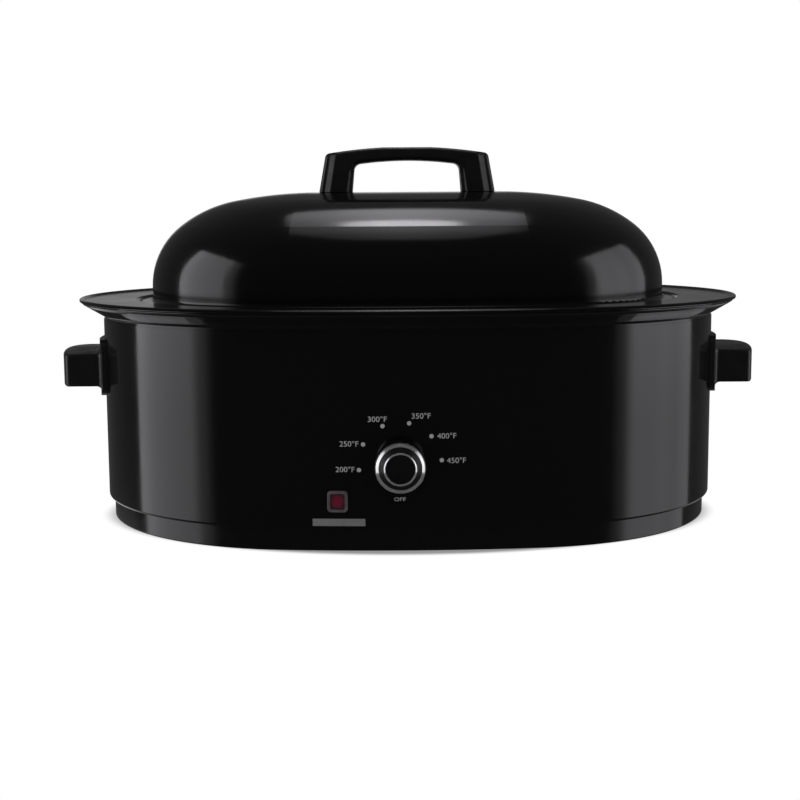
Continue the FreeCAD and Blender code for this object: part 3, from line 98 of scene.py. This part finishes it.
def add_reach(tree, shift, scale):
    """How far each point lies from the origin, once it is scaled along each axis and shifted."""
    place = tree.nodes.new("ShaderNodeTexCoord")
    moved = tree.nodes.new("ShaderNodeMapping")
    moved.inputs["Location"].default_value = shift
    moved.inputs["Scale"].default_value = scale
    reach = tree.nodes.new("ShaderNodeVectorMath")
    reach.operation = "LENGTH"
    wire(tree, place.outputs["Object"], moved.inputs["Vector"])
    wire(tree, moved.outputs["Vector"], reach.inputs[0])
    return reach.outputs["Value"]


table_white = bpy.data.materials.new("table_white")
table_white.use_nodes = True
tree = table_white.node_tree
paint = tree.nodes["Principled BSDF"]
paint.inputs["Base Color"].default_value = (0.9, 0.9, 0.9, 1)
paint.inputs["Roughness"].default_value = 0.7
glow = tree.nodes.new("ShaderNodeEmission")
oval = add_reach(tree, (0, 0, 0), (1 / FOOTPRINT[0], 1 / FOOTPRINT[1], 0))
far = add_range(tree, oval, *SHADOW_EDGE, SHADOW_LEVEL, 1.0)
rays = tree.nodes.new("ShaderNodeLightPath")
share = add_math(tree, "MULTIPLY", far, rays.outputs["Is Camera Ray"])
mix = tree.nodes.new("ShaderNodeMixShader")
wire(tree, share, mix.inputs[0])
wire(tree, paint.outputs[0], mix.inputs[1])
wire(tree, glow.outputs[0], mix.inputs[2])
under = tree.nodes.new("ShaderNodeNewGeometry")
clear = tree.nodes.new("ShaderNodeBsdfTransparent")
from_below = tree.nodes.new("ShaderNodeMixShader")
wire(tree, under.outputs["Backfacing"], from_below.inputs[0])
wire(tree, mix.outputs[0], from_below.inputs[1])
wire(tree, clear.outputs[0], from_below.inputs[2])
wire(tree, from_below.outputs[0], tree.nodes["Material Output"].inputs["Surface"])
floor.data.materials.append(table_white)

FILL = 0.45
FRONT_DIM = 0.03
BACK_DIM = 0.065
RIGHT_LEVEL = 0.4
NEAR_LEVEL = 0.4
SKYLINE_LEVEL = 0.36

# Where a reflection looks: spans of how far it points back (Y), aside (X) and up (Z).
ROOM_DEPTH = (-0.9, 0.9)
BACKDROP_FROM = (0.98, 1.0)
LEFT_TO_RIGHT = (-0.3, 0.3)
TABLE_FROM = (0.2, 0.6)
TABLE_NEAR = (-0.62, -0.4)
TABLE_FAR = (-0.32, -0.18)
SKYLINE_FROM = (0.93, 0.96)
SKYLINE_FOOT = (-0.04, 0.02)
SKYLINE_TOP = (0.12, 0.2)

room = bpy.data.worlds.new("room")
room.use_nodes = True
tree = room.node_tree
light = tree.nodes["Background"]
light.inputs["Color"].default_value = (1, 1, 1, 1)
place = tree.nodes.new("ShaderNodeTexCoord")
split = tree.nodes.new("ShaderNodeSeparateXYZ")
wire(tree, place.outputs["Generated"], split.inputs[0])
rays = tree.nodes.new("ShaderNodeLightPath")
aside, back, up = split.outputs
glossy = rays.outputs["Is Glossy Ray"]

backdrop = add_range(tree, back, *BACKDROP_FROM, 0, 1)
table_depth = add_math(
    tree, "MULTIPLY", add_range(tree, up, *TABLE_NEAR, NEAR_LEVEL, 1), add_range(tree, up, *TABLE_FAR, 1, 0)
)
table_behind = add_math(tree, "MULTIPLY", add_range(tree, back, *TABLE_FROM, 0, 1), table_depth)
skyline_height = add_math(
    tree, "MULTIPLY", add_range(tree, up, *SKYLINE_FOOT, 0, 1), add_range(tree, up, *SKYLINE_TOP, 1, 0)
)
skyline = add_math(tree, "MULTIPLY", add_range(tree, back, *SKYLINE_FROM, 0, SKYLINE_LEVEL), skyline_height)
low_behind = add_math(
    tree,
    "MULTIPLY",
    add_range(tree, aside, *LEFT_TO_RIGHT, 1, RIGHT_LEVEL),
    add_math(tree, "MAXIMUM", table_behind, skyline),
)
behind = add_math(tree, "MAXIMUM", backdrop, low_behind)

white = add_math(tree, "MULTIPLY", glossy, behind)
white = add_math(tree, "MAXIMUM", white, rays.outputs["Is Transmission Ray"])
white = add_math(tree, "MAXIMUM", white, rays.outputs["Is Camera Ray"])
room_dim = add_math(tree, "MULTIPLY", glossy, add_range(tree, back, *ROOM_DEPTH, FRONT_DIM, BACK_DIM))
fill = add_math(tree, "MULTIPLY", add_math(tree, "SUBTRACT", 1.0, glossy), FILL)
level = add_math(tree, "MAXIMUM", add_math(tree, "ADD", room_dim, fill), white)
wire(tree, level, light.inputs["Strength"])
bpy.context.scene.world = room

LAMP_COLOR = (0.98, 0.96, 1.0)


def softbox(name, location, aim, width, height, power, shape="RECTANGLE"):
    """A softbox at a place, turned to face a point."""
    bpy.ops.object.light_add(type="AREA", location=location)
    lamp = bpy.context.object
    lamp.name = name
    lamp.data.shape = shape
    lamp.data.size = width
    lamp.data.size_y = height
    lamp.data.energy = power
    lamp.data.color = LAMP_COLOR
    towards = [a - b for a, b in zip(aim, location)]
    flat = math.hypot(towards[0], towards[1])
    lamp.rotation_euler = (math.atan2(flat, -towards[2]), 0, math.atan2(-towards[0], towards[1]))
    lamp.visible_camera = False
    return lamp


def shade_softbox(lamp, across, upward):
    """Lets a softbox dim along its width and its height, each by a row of (place, level) stops."""
    lamp.data.use_nodes = True
    tree = lamp.data.node_tree
    spot = tree.nodes.new("ShaderNodeNewGeometry")
    split = tree.nodes.new("ShaderNodeSeparateXYZ")
    wire(tree, spot.outputs["Parametric"], split.inputs[0])
    levels = []
    for axis, stops in (("X", across), ("Y", upward)):
        ramp = tree.nodes.new("ShaderNodeValToRGB")
        ramp.color_ramp.interpolation = "EASE"
        while len(ramp.color_ramp.elements) < len(stops):
            ramp.color_ramp.elements.new(0.5)
        for element, (place, level) in zip(ramp.color_ramp.elements, stops):
            element.position = place
            element.color = (level, level, level, 1)
        wire(tree, split.outputs[axis], ramp.inputs["Fac"])
        levels.append(ramp.outputs["Color"])
    wire(tree, add_math(tree, "MULTIPLY", *levels), tree.nodes["Emission"].inputs["Strength"])


box_left = softbox(
    "softbox_left",
    location=(-1.423, -0.394, 0.375),
    aim=(-0.183, -0.219, 0.375),
    width=1.35,
    height=1.65,
    power=15.2,
)
shade_softbox(
    box_left,
    across=((0, 1.0), (0.3, 0.78), (0.7, 0.72), (0.84, 0.24), (1, 0.03)),
    upward=((0, 0.76), (0.2, 0.8), (0.36, 1.0), (1, 0.95)),
)
box_right = softbox(
    "softbox_right",
    location=(1.456, -0.161, 0.375),
    aim=(0.216, 0.014, 0.375),
    width=1.57,
    height=1.65,
    power=12.3,
)
shade_softbox(
    box_right,
    across=((0, 0.03), (0.1, 0.2), (0.24, 1.12), (0.5, 0.95), (0.75, 0.66), (1, 0.62)),
    upward=((0, 0.76), (0.2, 0.8), (0.34, 1.05), (1, 0.95)),
)
box_top = softbox(
    "softbox_top",
    location=(0, 0.28, 1.55),
    aim=(0, 0.28, 0),
    width=0.72,
    height=1.6,
    power=7.5,
    shape="ELLIPSE",
)
shade_softbox(
    box_top,
    across=((0, 0.0), (0.12, 0.5), (0.5, 1.0), (0.88, 0.6), (1, 0.0)),
    upward=((0, 0.0), (0.12, 0.22), (0.4, 0.45), (0.65, 0.85), (0.88, 0.78), (1, 0.3)),
)
softbox(
    "softbox_core",
    location=(0, 0.3, 1.5),
    aim=(0, 0.1, 0.2),
    width=0.3,
    height=0.16,
    power=0.85,
    shape="ELLIPSE",
)

# ---- Bottom plate, posts and feet -----------------------------------------------------------------------------
# A zinc-plated steel plate closes the underside. Posts and screws tie it to the liner, and four moulded rubber feet
# are pushed into its holes.

NOISE_SPAN = (0.35, 0.65)


def new_finish(name, color, roughness, metallic=0.0):
    """A material with a Principled shader, its node tree and that shader."""
    material = bpy.data.materials.new(name)
    material.use_nodes = True
    shader = material.node_tree.nodes["Principled BSDF"]
    shader.inputs["Base Color"].default_value = (*color, 1)
    shader.inputs["Roughness"].default_value = roughness
    shader.inputs["Metallic"].default_value = metallic
    return material, material.node_tree, shader


def add_noise(tree, size, detail=2.0, stretch=(1, 1, 1)):
    """Noise whose features are about the given size in metres, drawn out along an axis if asked."""
    place = tree.nodes.new("ShaderNodeTexCoord")
    turn = tree.nodes.new("ShaderNodeMapping")
    turn.inputs["Scale"].default_value = stretch
    noise = tree.nodes.new("ShaderNodeTexNoise")
    noise.inputs["Scale"].default_value = 1 / size
    noise.inputs["Detail"].default_value = detail
    wire(tree, place.outputs["Object"], turn.inputs["Vector"])
    wire(tree, turn.outputs["Vector"], noise.inputs["Vector"])
    return noise.outputs["Fac"]


def add_bump(tree, shader, height, depth):
    """Raises the surface by a height pattern, to a depth in metres."""
    bump = tree.nodes.new("ShaderNodeBump")
    bump.inputs["Distance"].default_value = depth
    wire(tree, height, bump.inputs["Height"])
    wire(tree, bump.outputs["Normal"], shader.inputs["Normal"])


def vary_roughness(tree, shader, pattern, low, high):
    """Lets the roughness wander between two values."""
    wire(tree, add_range(tree, pattern, *NOISE_SPAN, low, high), shader.inputs["Roughness"])


def vary_color(tree, shader, pattern, dark, light):
    """Lets the colour wander between two shades."""
    mix = tree.nodes.new("ShaderNodeMix")
    mix.data_type = "RGBA"
    mix.inputs["A"].default_value = (*dark, 1)
    mix.inputs["B"].default_value = (*light, 1)
    wire(tree, add_range(tree, pattern, *NOISE_SPAN, 0, 1), mix.inputs["Factor"])
    wire(tree, mix.outputs["Result"], shader.inputs["Base Color"])


def dress(material, *names):
    """Gives CAD nodes a material."""
    for name in names:
        slots = nodes[name].material_slots
        if not slots:
            nodes[name].data.materials.append(material)
        for slot in slots:
            slot.material = material


zinc, tree, shader = new_finish("zinc_sheet", (0.55, 0.56, 0.57), 0.4, 1.0)
vary_color(tree, shader, add_noise(tree, 0.006, 1.0), (0.48, 0.49, 0.5), (0.62, 0.63, 0.64))
vary_roughness(tree, shader, add_noise(tree, 0.012), 0.32, 0.48)
add_bump(tree, shader, add_noise(tree, 0.0012), 0.00003)
dress(zinc, "bottom_plate", "thermostat_bracket", "heater_clips")

bright_steel, tree, shader = new_finish("plated_steel", (0.6, 0.6, 0.62), 0.28, 1.0)
vary_roughness(tree, shader, add_noise(tree, 0.003), 0.2, 0.36)
add_bump(tree, shader, add_noise(tree, 0.0006), 0.00001)
dress(bright_steel, "liner_posts", "base_screws", "side_handle_screws", "thermostat_screws", "thermostat_shaft")
dress(bright_steel, "lid_handle_screws", "lid_handle_washers")

rubber, tree, shader = new_finish("foot_rubber", (0.02, 0.02, 0.02), 0.8)
vary_color(tree, shader, add_noise(tree, 0.008), (0.016, 0.016, 0.016), (0.03, 0.03, 0.03))
vary_roughness(tree, shader, add_noise(tree, 0.004), 0.7, 0.9)
add_bump(tree, shader, add_noise(tree, 0.0008), 0.00005)
dress(rubber, "foot_front_left", "foot_front_right", "foot_rear_left", "foot_rear_right")

# ---- Base band ------------------------------------------------------------------------------------------------
# The gloss black moulded skirt that the painted wrapper stands in. It is held between the wrapper's rolled lower
# edge and the bottom plate.

band, tree, shader = new_finish("band_plastic", (0.003, 0.003, 0.0034), 0.12)
vary_roughness(tree, shader, add_noise(tree, 0.02), 0.1, 0.15)
add_bump(tree, shader, add_noise(tree, 0.004), 0.000008)
dress(band, "base_band")

# ---- Wrapper --------------------------------------------------------------------------------------------------
# The outer wall: two halves of steel sheet, sprayed with gloss black enamel and stoved, and joined behind the
# handle pads. The paint has the faint ripple of a sprayed coat.

wrapper_paint, tree, shader = new_finish("wrapper_enamel", (0.0022, 0.0022, 0.0024), 0.12)
vary_roughness(tree, shader, add_noise(tree, 0.03), 0.108, 0.132)
add_bump(tree, shader, add_noise(tree, 0.003, 1.0), 0.000006)
dress(wrapper_paint, "wrapper_front", "wrapper_rear")

# ---- Print round the dial -------------------------------------------------------------------------------------
# Heat marks in pale grey ink, screen-printed on the wrapper: a dot and a number for each heat, OFF under the knob and
# a plain bar under the lamp. The ink follows the wall's curve.

PRINT_Y = -0.1974
UPRIGHT = (math.radians(90), 0, 0)
DIAL_X = -0.0083
DIAL_Z = 0.0688
DOT_RING = 0.0303
DOT_RADIUS = 0.0016
DOT_SIDES = 28
LETTER_SIZE = 1.37
HEAT_SIZE = (0.0138, 0.0041)
OFF_SIZE = (0.0085, 0.0028)
OFF_PLACE = (-0.0086, 0.0424)
BAR_PLACE = (-0.0532, 0.0254)
BAR_SIZE = (0.0385, 0.0054)
INK = 0.00004


def end_print(name):
    """Turns the selected flat text or curve into a mesh with its place in it."""
    print_piece = bpy.context.object
    print_piece.name = name
    bpy.ops.object.convert(target="MESH")
    bpy.ops.object.transform_apply(location=True, rotation=True, scale=True)
    return print_piece


def add_label(words, x, z, width, height):
    """Flat lettering that stands in front of the wall, fitted to a width and a height round its middle."""
    bpy.ops.object.text_add(location=(x, PRINT_Y, z), rotation=UPRIGHT)
    label = bpy.context.object
    label.data.body = words
    label.data.align_x = "CENTER"
    label.data.align_y = "CENTER"
    label.data.size = height * LETTER_SIZE
    bpy.context.view_layer.update()
    label.scale = (width / label.dimensions.x, 1, 1)
    return end_print("label")


def add_dot(x, z):
    """A flat round dot that stands in front of the wall."""
    bpy.ops.mesh.primitive_circle_add(
        vertices=DOT_SIDES,
        radius=DOT_RADIUS,
        fill_type="NGON",
        location=(x, PRINT_Y, z),
        rotation=UPRIGHT,
    )
    return end_print("dot")


def lay_on_wall(name, pieces, finish):
    """Joins flat print into one piece and lays it on the wrapper."""
    bpy.ops.object.select_all(action="DESELECT")
    for piece in pieces:
        piece.select_set(True)
    bpy.context.view_layer.objects.active = pieces[0]
    if len(pieces) > 1:
        bpy.ops.object.join()
    piece = bpy.context.object
    piece.name = name
    wrap = piece.modifiers.new("lay", "SHRINKWRAP")
    wrap.target = nodes["wrapper_front"]
    wrap.wrap_method = "PROJECT"
    wrap.use_project_y = True
    wrap.use_positive_direction = True
    wrap.use_negative_direction = False
    wrap.offset = INK
    bpy.ops.object.modifier_apply(modifier=wrap.name)
    piece.data.materials.append(finish)
    bpy.ops.object.select_all(action="DESELECT")
    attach(piece, "oven")


ink, tree, shader = new_finish("print_ink", (0.42, 0.42, 0.42), 0.5)
vary_color(tree, shader, add_noise(tree, 0.0008), (0.36, 0.36, 0.36), (0.48, 0.48, 0.48))
vary_roughness(tree, shader, add_noise(tree, 0.0005), 0.42, 0.6)

marks = [add_label("OFF", *OFF_PLACE, *OFF_SIZE)]
for heat, angle, label_x, label_z in (
    ("200", 188.7, -0.0483, 0.0644),
    ("250", 152.0, -0.0453, 0.0832),
    ("300", 114.6, -0.0247, 0.1012),
    ("350", 77.3, 0.0070, 0.1034),
    ("400", 41.2, 0.0256, 0.0887),
    ("450", 4.4, 0.0326, 0.0706),
):
    turn = math.radians(angle)
    marks.append(add_dot(DIAL_X + DOT_RING * math.cos(turn), DIAL_Z + DOT_RING * math.sin(turn)))
    marks.append(add_label(heat + "\u00b0F", label_x, label_z, *HEAT_SIZE))
lay_on_wall("dial_print", marks, ink)

bpy.ops.mesh.primitive_grid_add(
    x_subdivisions=24,
    y_subdivisions=3,
    size=1,
    location=(BAR_PLACE[0], PRINT_Y, BAR_PLACE[1]),
    rotation=UPRIGHT,
)
bpy.context.object.scale = (*BAR_SIZE, 1)
bar = end_print("bar")

bar_ink, tree, shader = new_finish("bar_ink", (0.18, 0.18, 0.18), 0.5)
vary_color(tree, shader, add_noise(tree, 0.0008), (0.16, 0.16, 0.16), (0.21, 0.21, 0.21))
vary_roughness(tree, shader, add_noise(tree, 0.0005), 0.42, 0.6)
lay_on_wall("lamp_print", [bar], bar_ink)

# ---- Liner and its flare --------------------------------------------------------------------------------------
# The heated inner shell of enamelled steel. Its flange comes out under the brim and flares back in to a hem inside
# the wrapper; the flare is all that shows of it with the cookwell in.

FLARE_FOOT = 0.1672
FLARE_TOP = 0.1774
FLARE_CURL = 0.022


def add_place(tree):
    """The X, Y and Z of each point on the object."""
    place = tree.nodes.new("ShaderNodeTexCoord")
    split = tree.nodes.new("ShaderNodeSeparateXYZ")
    wire(tree, place.outputs["Object"], split.inputs[0])
    return split.outputs


collar_paint, tree, shader = new_finish("collar_enamel", (0.003, 0.003, 0.0035), 0.12)
vary_roughness(tree, shader, add_noise(tree, 0.02), 0.1, 0.16)
curl = add_range(tree, add_place(tree)["Z"], FLARE_FOOT, FLARE_TOP, 1, 0)
add_bump(tree, shader, curl, FLARE_CURL)
dress(collar_paint, "oven_liner")

# ---- Insulation and heater ------------------------------------------------------------------------------------
# Mineral wool round and under the liner, and a mica band with flat resistance ribbons wound on it, held by clips.

wool, tree, shader = new_finish("mineral_wool", (0.72, 0.66, 0.45), 0.95)
vary_color(tree, shader, add_noise(tree, 0.01, 6.0), (0.6, 0.53, 0.33), (0.8, 0.75, 0.56))
add_bump(tree, shader, add_noise(tree, 0.002, 8.0), 0.0008)
dress(wool, "insulation_pad", "insulation_wrap")

mica, tree, shader = new_finish("mica_sheet", (0.55, 0.5, 0.42), 0.5)
vary_color(tree, shader, add_noise(tree, 0.01, 4.0), (0.45, 0.4, 0.32), (0.62, 0.57, 0.48))
vary_roughness(tree, shader, add_noise(tree, 0.006), 0.4, 0.65)
add_bump(tree, shader, add_noise(tree, 0.003), 0.00004)
dress(mica, "heater_band")

ribbon, tree, shader = new_finish("resistance_ribbon", (0.42, 0.4, 0.38), 0.5, 1.0)
vary_color(tree, shader, add_noise(tree, 0.01), (0.3, 0.26, 0.24), (0.5, 0.47, 0.45))
vary_roughness(tree, shader, add_noise(tree, 0.003), 0.4, 0.6)
dress(ribbon, "heating_ribbons")

# ---- Thermostat, terminal block and wires ---------------------------------------------------------------------
# A ceramic-cased thermostat on a steel bracket behind the dial, a ceramic terminal block at the rear and
# silicone-sleeved wires between them.

ceramic, tree, shader = new_finish("white_ceramic", (0.8, 0.78, 0.72), 0.55)
vary_color(tree, shader, add_noise(tree, 0.008), (0.74, 0.71, 0.65), (0.84, 0.82, 0.77))
vary_roughness(tree, shader, add_noise(tree, 0.004), 0.45, 0.65)
add_bump(tree, shader, add_noise(tree, 0.001), 0.00003)
dress(ceramic, "thermostat_body", "terminal_block")

sleeve, tree, shader = new_finish("silicone_sleeve", (0.75, 0.75, 0.72), 0.6)
vary_color(tree, shader, add_noise(tree, 0.01), (0.68, 0.68, 0.64), (0.78, 0.78, 0.75))
add_bump(tree, shader, add_noise(tree, 0.0008), 0.00003)
dress(sleeve, "wire_harness")

# ---- Lamp and cord bush ---------------------------------------------------------------------------------------
# A clear red lens in a grey frame, held in the wrapper's window by the black holder that clips on behind it with
# the bulb. The bush for the cord is moulded in black and set in the rear wall.

frame_black, tree, shader = new_finish("frame_plastic", (0.01, 0.01, 0.011), 0.2)
vary_roughness(tree, shader, add_noise(tree, 0.006), 0.15, 0.26)
add_bump(tree, shader, add_noise(tree, 0.001), 0.00001)
dress(frame_black, "lamp_holder", "cord_gland")

bezel_grey, tree, shader = new_finish("bezel_plastic", (0.1, 0.082, 0.092), 0.35)
vary_color(tree, shader, add_noise(tree, 0.004), (0.08, 0.066, 0.074), (0.115, 0.095, 0.105))
vary_roughness(tree, shader, add_noise(tree, 0.002), 0.3, 0.42)
add_bump(tree, shader, add_noise(tree, 0.0006), 0.00001)
dress(bezel_grey, "lamp_bezel")

LENS_X = -0.0540
LENS_Z = 0.0410
LENS_PAINTED_GLOW = (0.0022, 0.0055)
lens_red, tree, shader = new_finish("red_lens", (0.14, 0.012, 0.022), 0.12)
shader.inputs["Transmission Weight"].default_value = 0.3
# The lens colour is painted: brighter red at its middle as a painted glow, fading to painted shade towards its rim.
painted_rim_shade = add_range(tree, add_reach(tree, (-LENS_X, 0, -LENS_Z), (1, 0, 1)), *LENS_PAINTED_GLOW, 0, 1)
painted_glow_tint = tree.nodes.new("ShaderNodeMix")
painted_glow_tint.data_type = "RGBA"
painted_glow_tint.inputs["A"].default_value = (0.2, 0.012, 0.035, 1)
painted_glow_tint.inputs["B"].default_value = (0.05, 0.02, 0.026, 1)
wire(tree, painted_rim_shade, painted_glow_tint.inputs["Factor"])
wire(tree, painted_glow_tint.outputs["Result"], shader.inputs["Base Color"])
vary_roughness(tree, shader, add_noise(tree, 0.002), 0.08, 0.16)
add_bump(tree, shader, add_noise(tree, 0.0012, 0.0), 0.00006)
dress(lens_red, "lamp_lens")

glass, tree, shader = new_finish("bulb_glass", (0.9, 0.75, 0.7), 0.05)
shader.inputs["Transmission Weight"].default_value = 0.9
vary_roughness(tree, shader, add_noise(tree, 0.003), 0.03, 0.08)
dress(glass, "lamp_bulb")

# ---- Heat knob ------------------------------------------------------------------------------------------------
# A fluted satin phenolic knob with a polished chrome ring round it, a thinner one inside and a plain cap. It is
# pushed on the thermostat's shaft and turns with it.

RING_SLOPE = 0.8
knob_black, tree, shader = new_finish("knob_phenolic", (0.004, 0.004, 0.004), 0.42)
vary_roughness(tree, shader, add_noise(tree, 0.005), 0.36, 0.48)
shader.inputs["Specular IOR Level"].default_value = 0.3
add_bump(tree, shader, add_noise(tree, 0.0005), 0.00001)
dress(knob_black, "knob_body", "knob_cap")

chrome, tree, shader = new_finish("ring_chrome", (0.75, 0.75, 0.76), 0.16, 0.82)
vary_roughness(tree, shader, add_noise(tree, 0.004), 0.13, 0.2)
from_axis = add_reach(tree, (-DIAL_X, 0, -DIAL_Z), (1, 0, 1))
add_bump(tree, shader, add_math(tree, "MULTIPLY", from_axis, -RING_SLOPE), 1.0)
dress(chrome, "knob_outer_ring", "knob_inner_ring")

# ---- Side handles ---------------------------------------------------------------------------------------------
# Satin black phenolic hoods, open beneath for the fingers. Each is moulded in one with its pad and held by screws
# driven outward from inside the wrapper.

phenolic, tree, shader = new_finish("handle_phenolic", (0.005, 0.005, 0.005), 0.34)
vary_roughness(tree, shader, add_noise(tree, 0.012), 0.3, 0.4)
add_bump(tree, shader, add_noise(tree, 0.0006), 0.00001)
dress(phenolic, "side_handle_left", "side_handle_right")

# ---- Cookwell -------------------------------------------------------------------------------------------------
# The lift-out pan, pressed from one steel sheet and coated with black porcelain enamel. It hangs in the liner by
# its wide brim, whose edge is rolled down into a bead.

BEAD_TOP = 0.1818
BEAD_HEIGHT = 0.003
BEAD_ROLL = 0.0055
pan_enamel, tree, shader = new_finish("pan_enamel", (0.0035, 0.0035, 0.004), 0.16)
vary_roughness(tree, shader, add_noise(tree, 0.03), 0.145, 0.175)
roll = add_range(tree, add_place(tree)["Z"], BEAD_TOP - BEAD_HEIGHT, BEAD_TOP, 1, 0)
add_bump(tree, shader, roll, BEAD_ROLL)
dress(pan_enamel, "cookwell")

# ---- Rack -----------------------------------------------------------------------------------------------------
# Bright plated steel wire, welded at every crossing. It stands loose in the pan and is lifted by the two loops at
# its ends.

rack_plating, tree, shader = new_finish("rack_plating", (0.72, 0.72, 0.74), 0.16, 1.0)
vary_roughness(tree, shader, add_noise(tree, 0.005), 0.1, 0.24)
add_bump(tree, shader, add_noise(tree, 0.001), 0.00001)
dress(rack_plating, "rack_frame", "rack_wires", "rack_handles")

# ---- Lid ------------------------------------------------------------------------------------------------------
# A deep dome pressed from one steel sheet and coated with the same gloss black enamel as the wrapper. Its turned
# edge sits loose on the ledge inside the pan's brim.

lid_enamel, tree, shader = new_finish("lid_enamel", (0.0022, 0.0022, 0.0024), 0.13)
vary_roughness(tree, shader, add_noise(tree, 0.03), 0.118, 0.142)
add_bump(tree, shader, add_noise(tree, 0.003, 1.0), 0.000006)
dress(lid_enamel, "lid_dome")

# ---- Lid handle -----------------------------------------------------------------------------------------------
# A bail moulded in satin black phenolic, screwed up from inside the dome. Its two legs lean out and are softly
# crowned along both edges.

FOOT_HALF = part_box("lid_handle")[1][0]
FOOT_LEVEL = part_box("lid_handle")[0][2]
LEG_LEAN = 0.16
LEG_INSIDE = FOOT_HALF - 0.027
LEG_CROWN = 0.0036
OUTER_ROUND = (0.010, 0.0035)
INNER_ROUND = (0.001, 0.006)
BAR_UNDERSIDE = (0.015, 0.021)
bail, tree, shader = new_finish("lid_handle_phenolic", (0.005, 0.005, 0.005), 0.34)
vary_roughness(tree, shader, add_noise(tree, 0.012), 0.3, 0.4)
place = add_place(tree)
above_foot = add_math(tree, "SUBTRACT", place["Z"], FOOT_LEVEL)
leaned = add_math(tree, "MULTIPLY", above_foot, LEG_LEAN)
outward = add_math(tree, "ADD", add_math(tree, "ABSOLUTE", place["X"], 0), leaned)
outer_edge = add_range(tree, outward, FOOT_HALF - OUTER_ROUND[0], FOOT_HALF - OUTER_ROUND[1], 1, 0)
inner_edge = add_range(tree, outward, LEG_INSIDE - INNER_ROUND[0], LEG_INSIDE + INNER_ROUND[1], -1, 0)
inner_edge = add_math(tree, "MULTIPLY", inner_edge, add_range(tree, above_foot, *BAR_UNDERSIDE, 1, 0))
add_bump(tree, shader, add_math(tree, "ADD", outer_edge, inner_edge), LEG_CROWN)
dress(bail, "lid_handle")
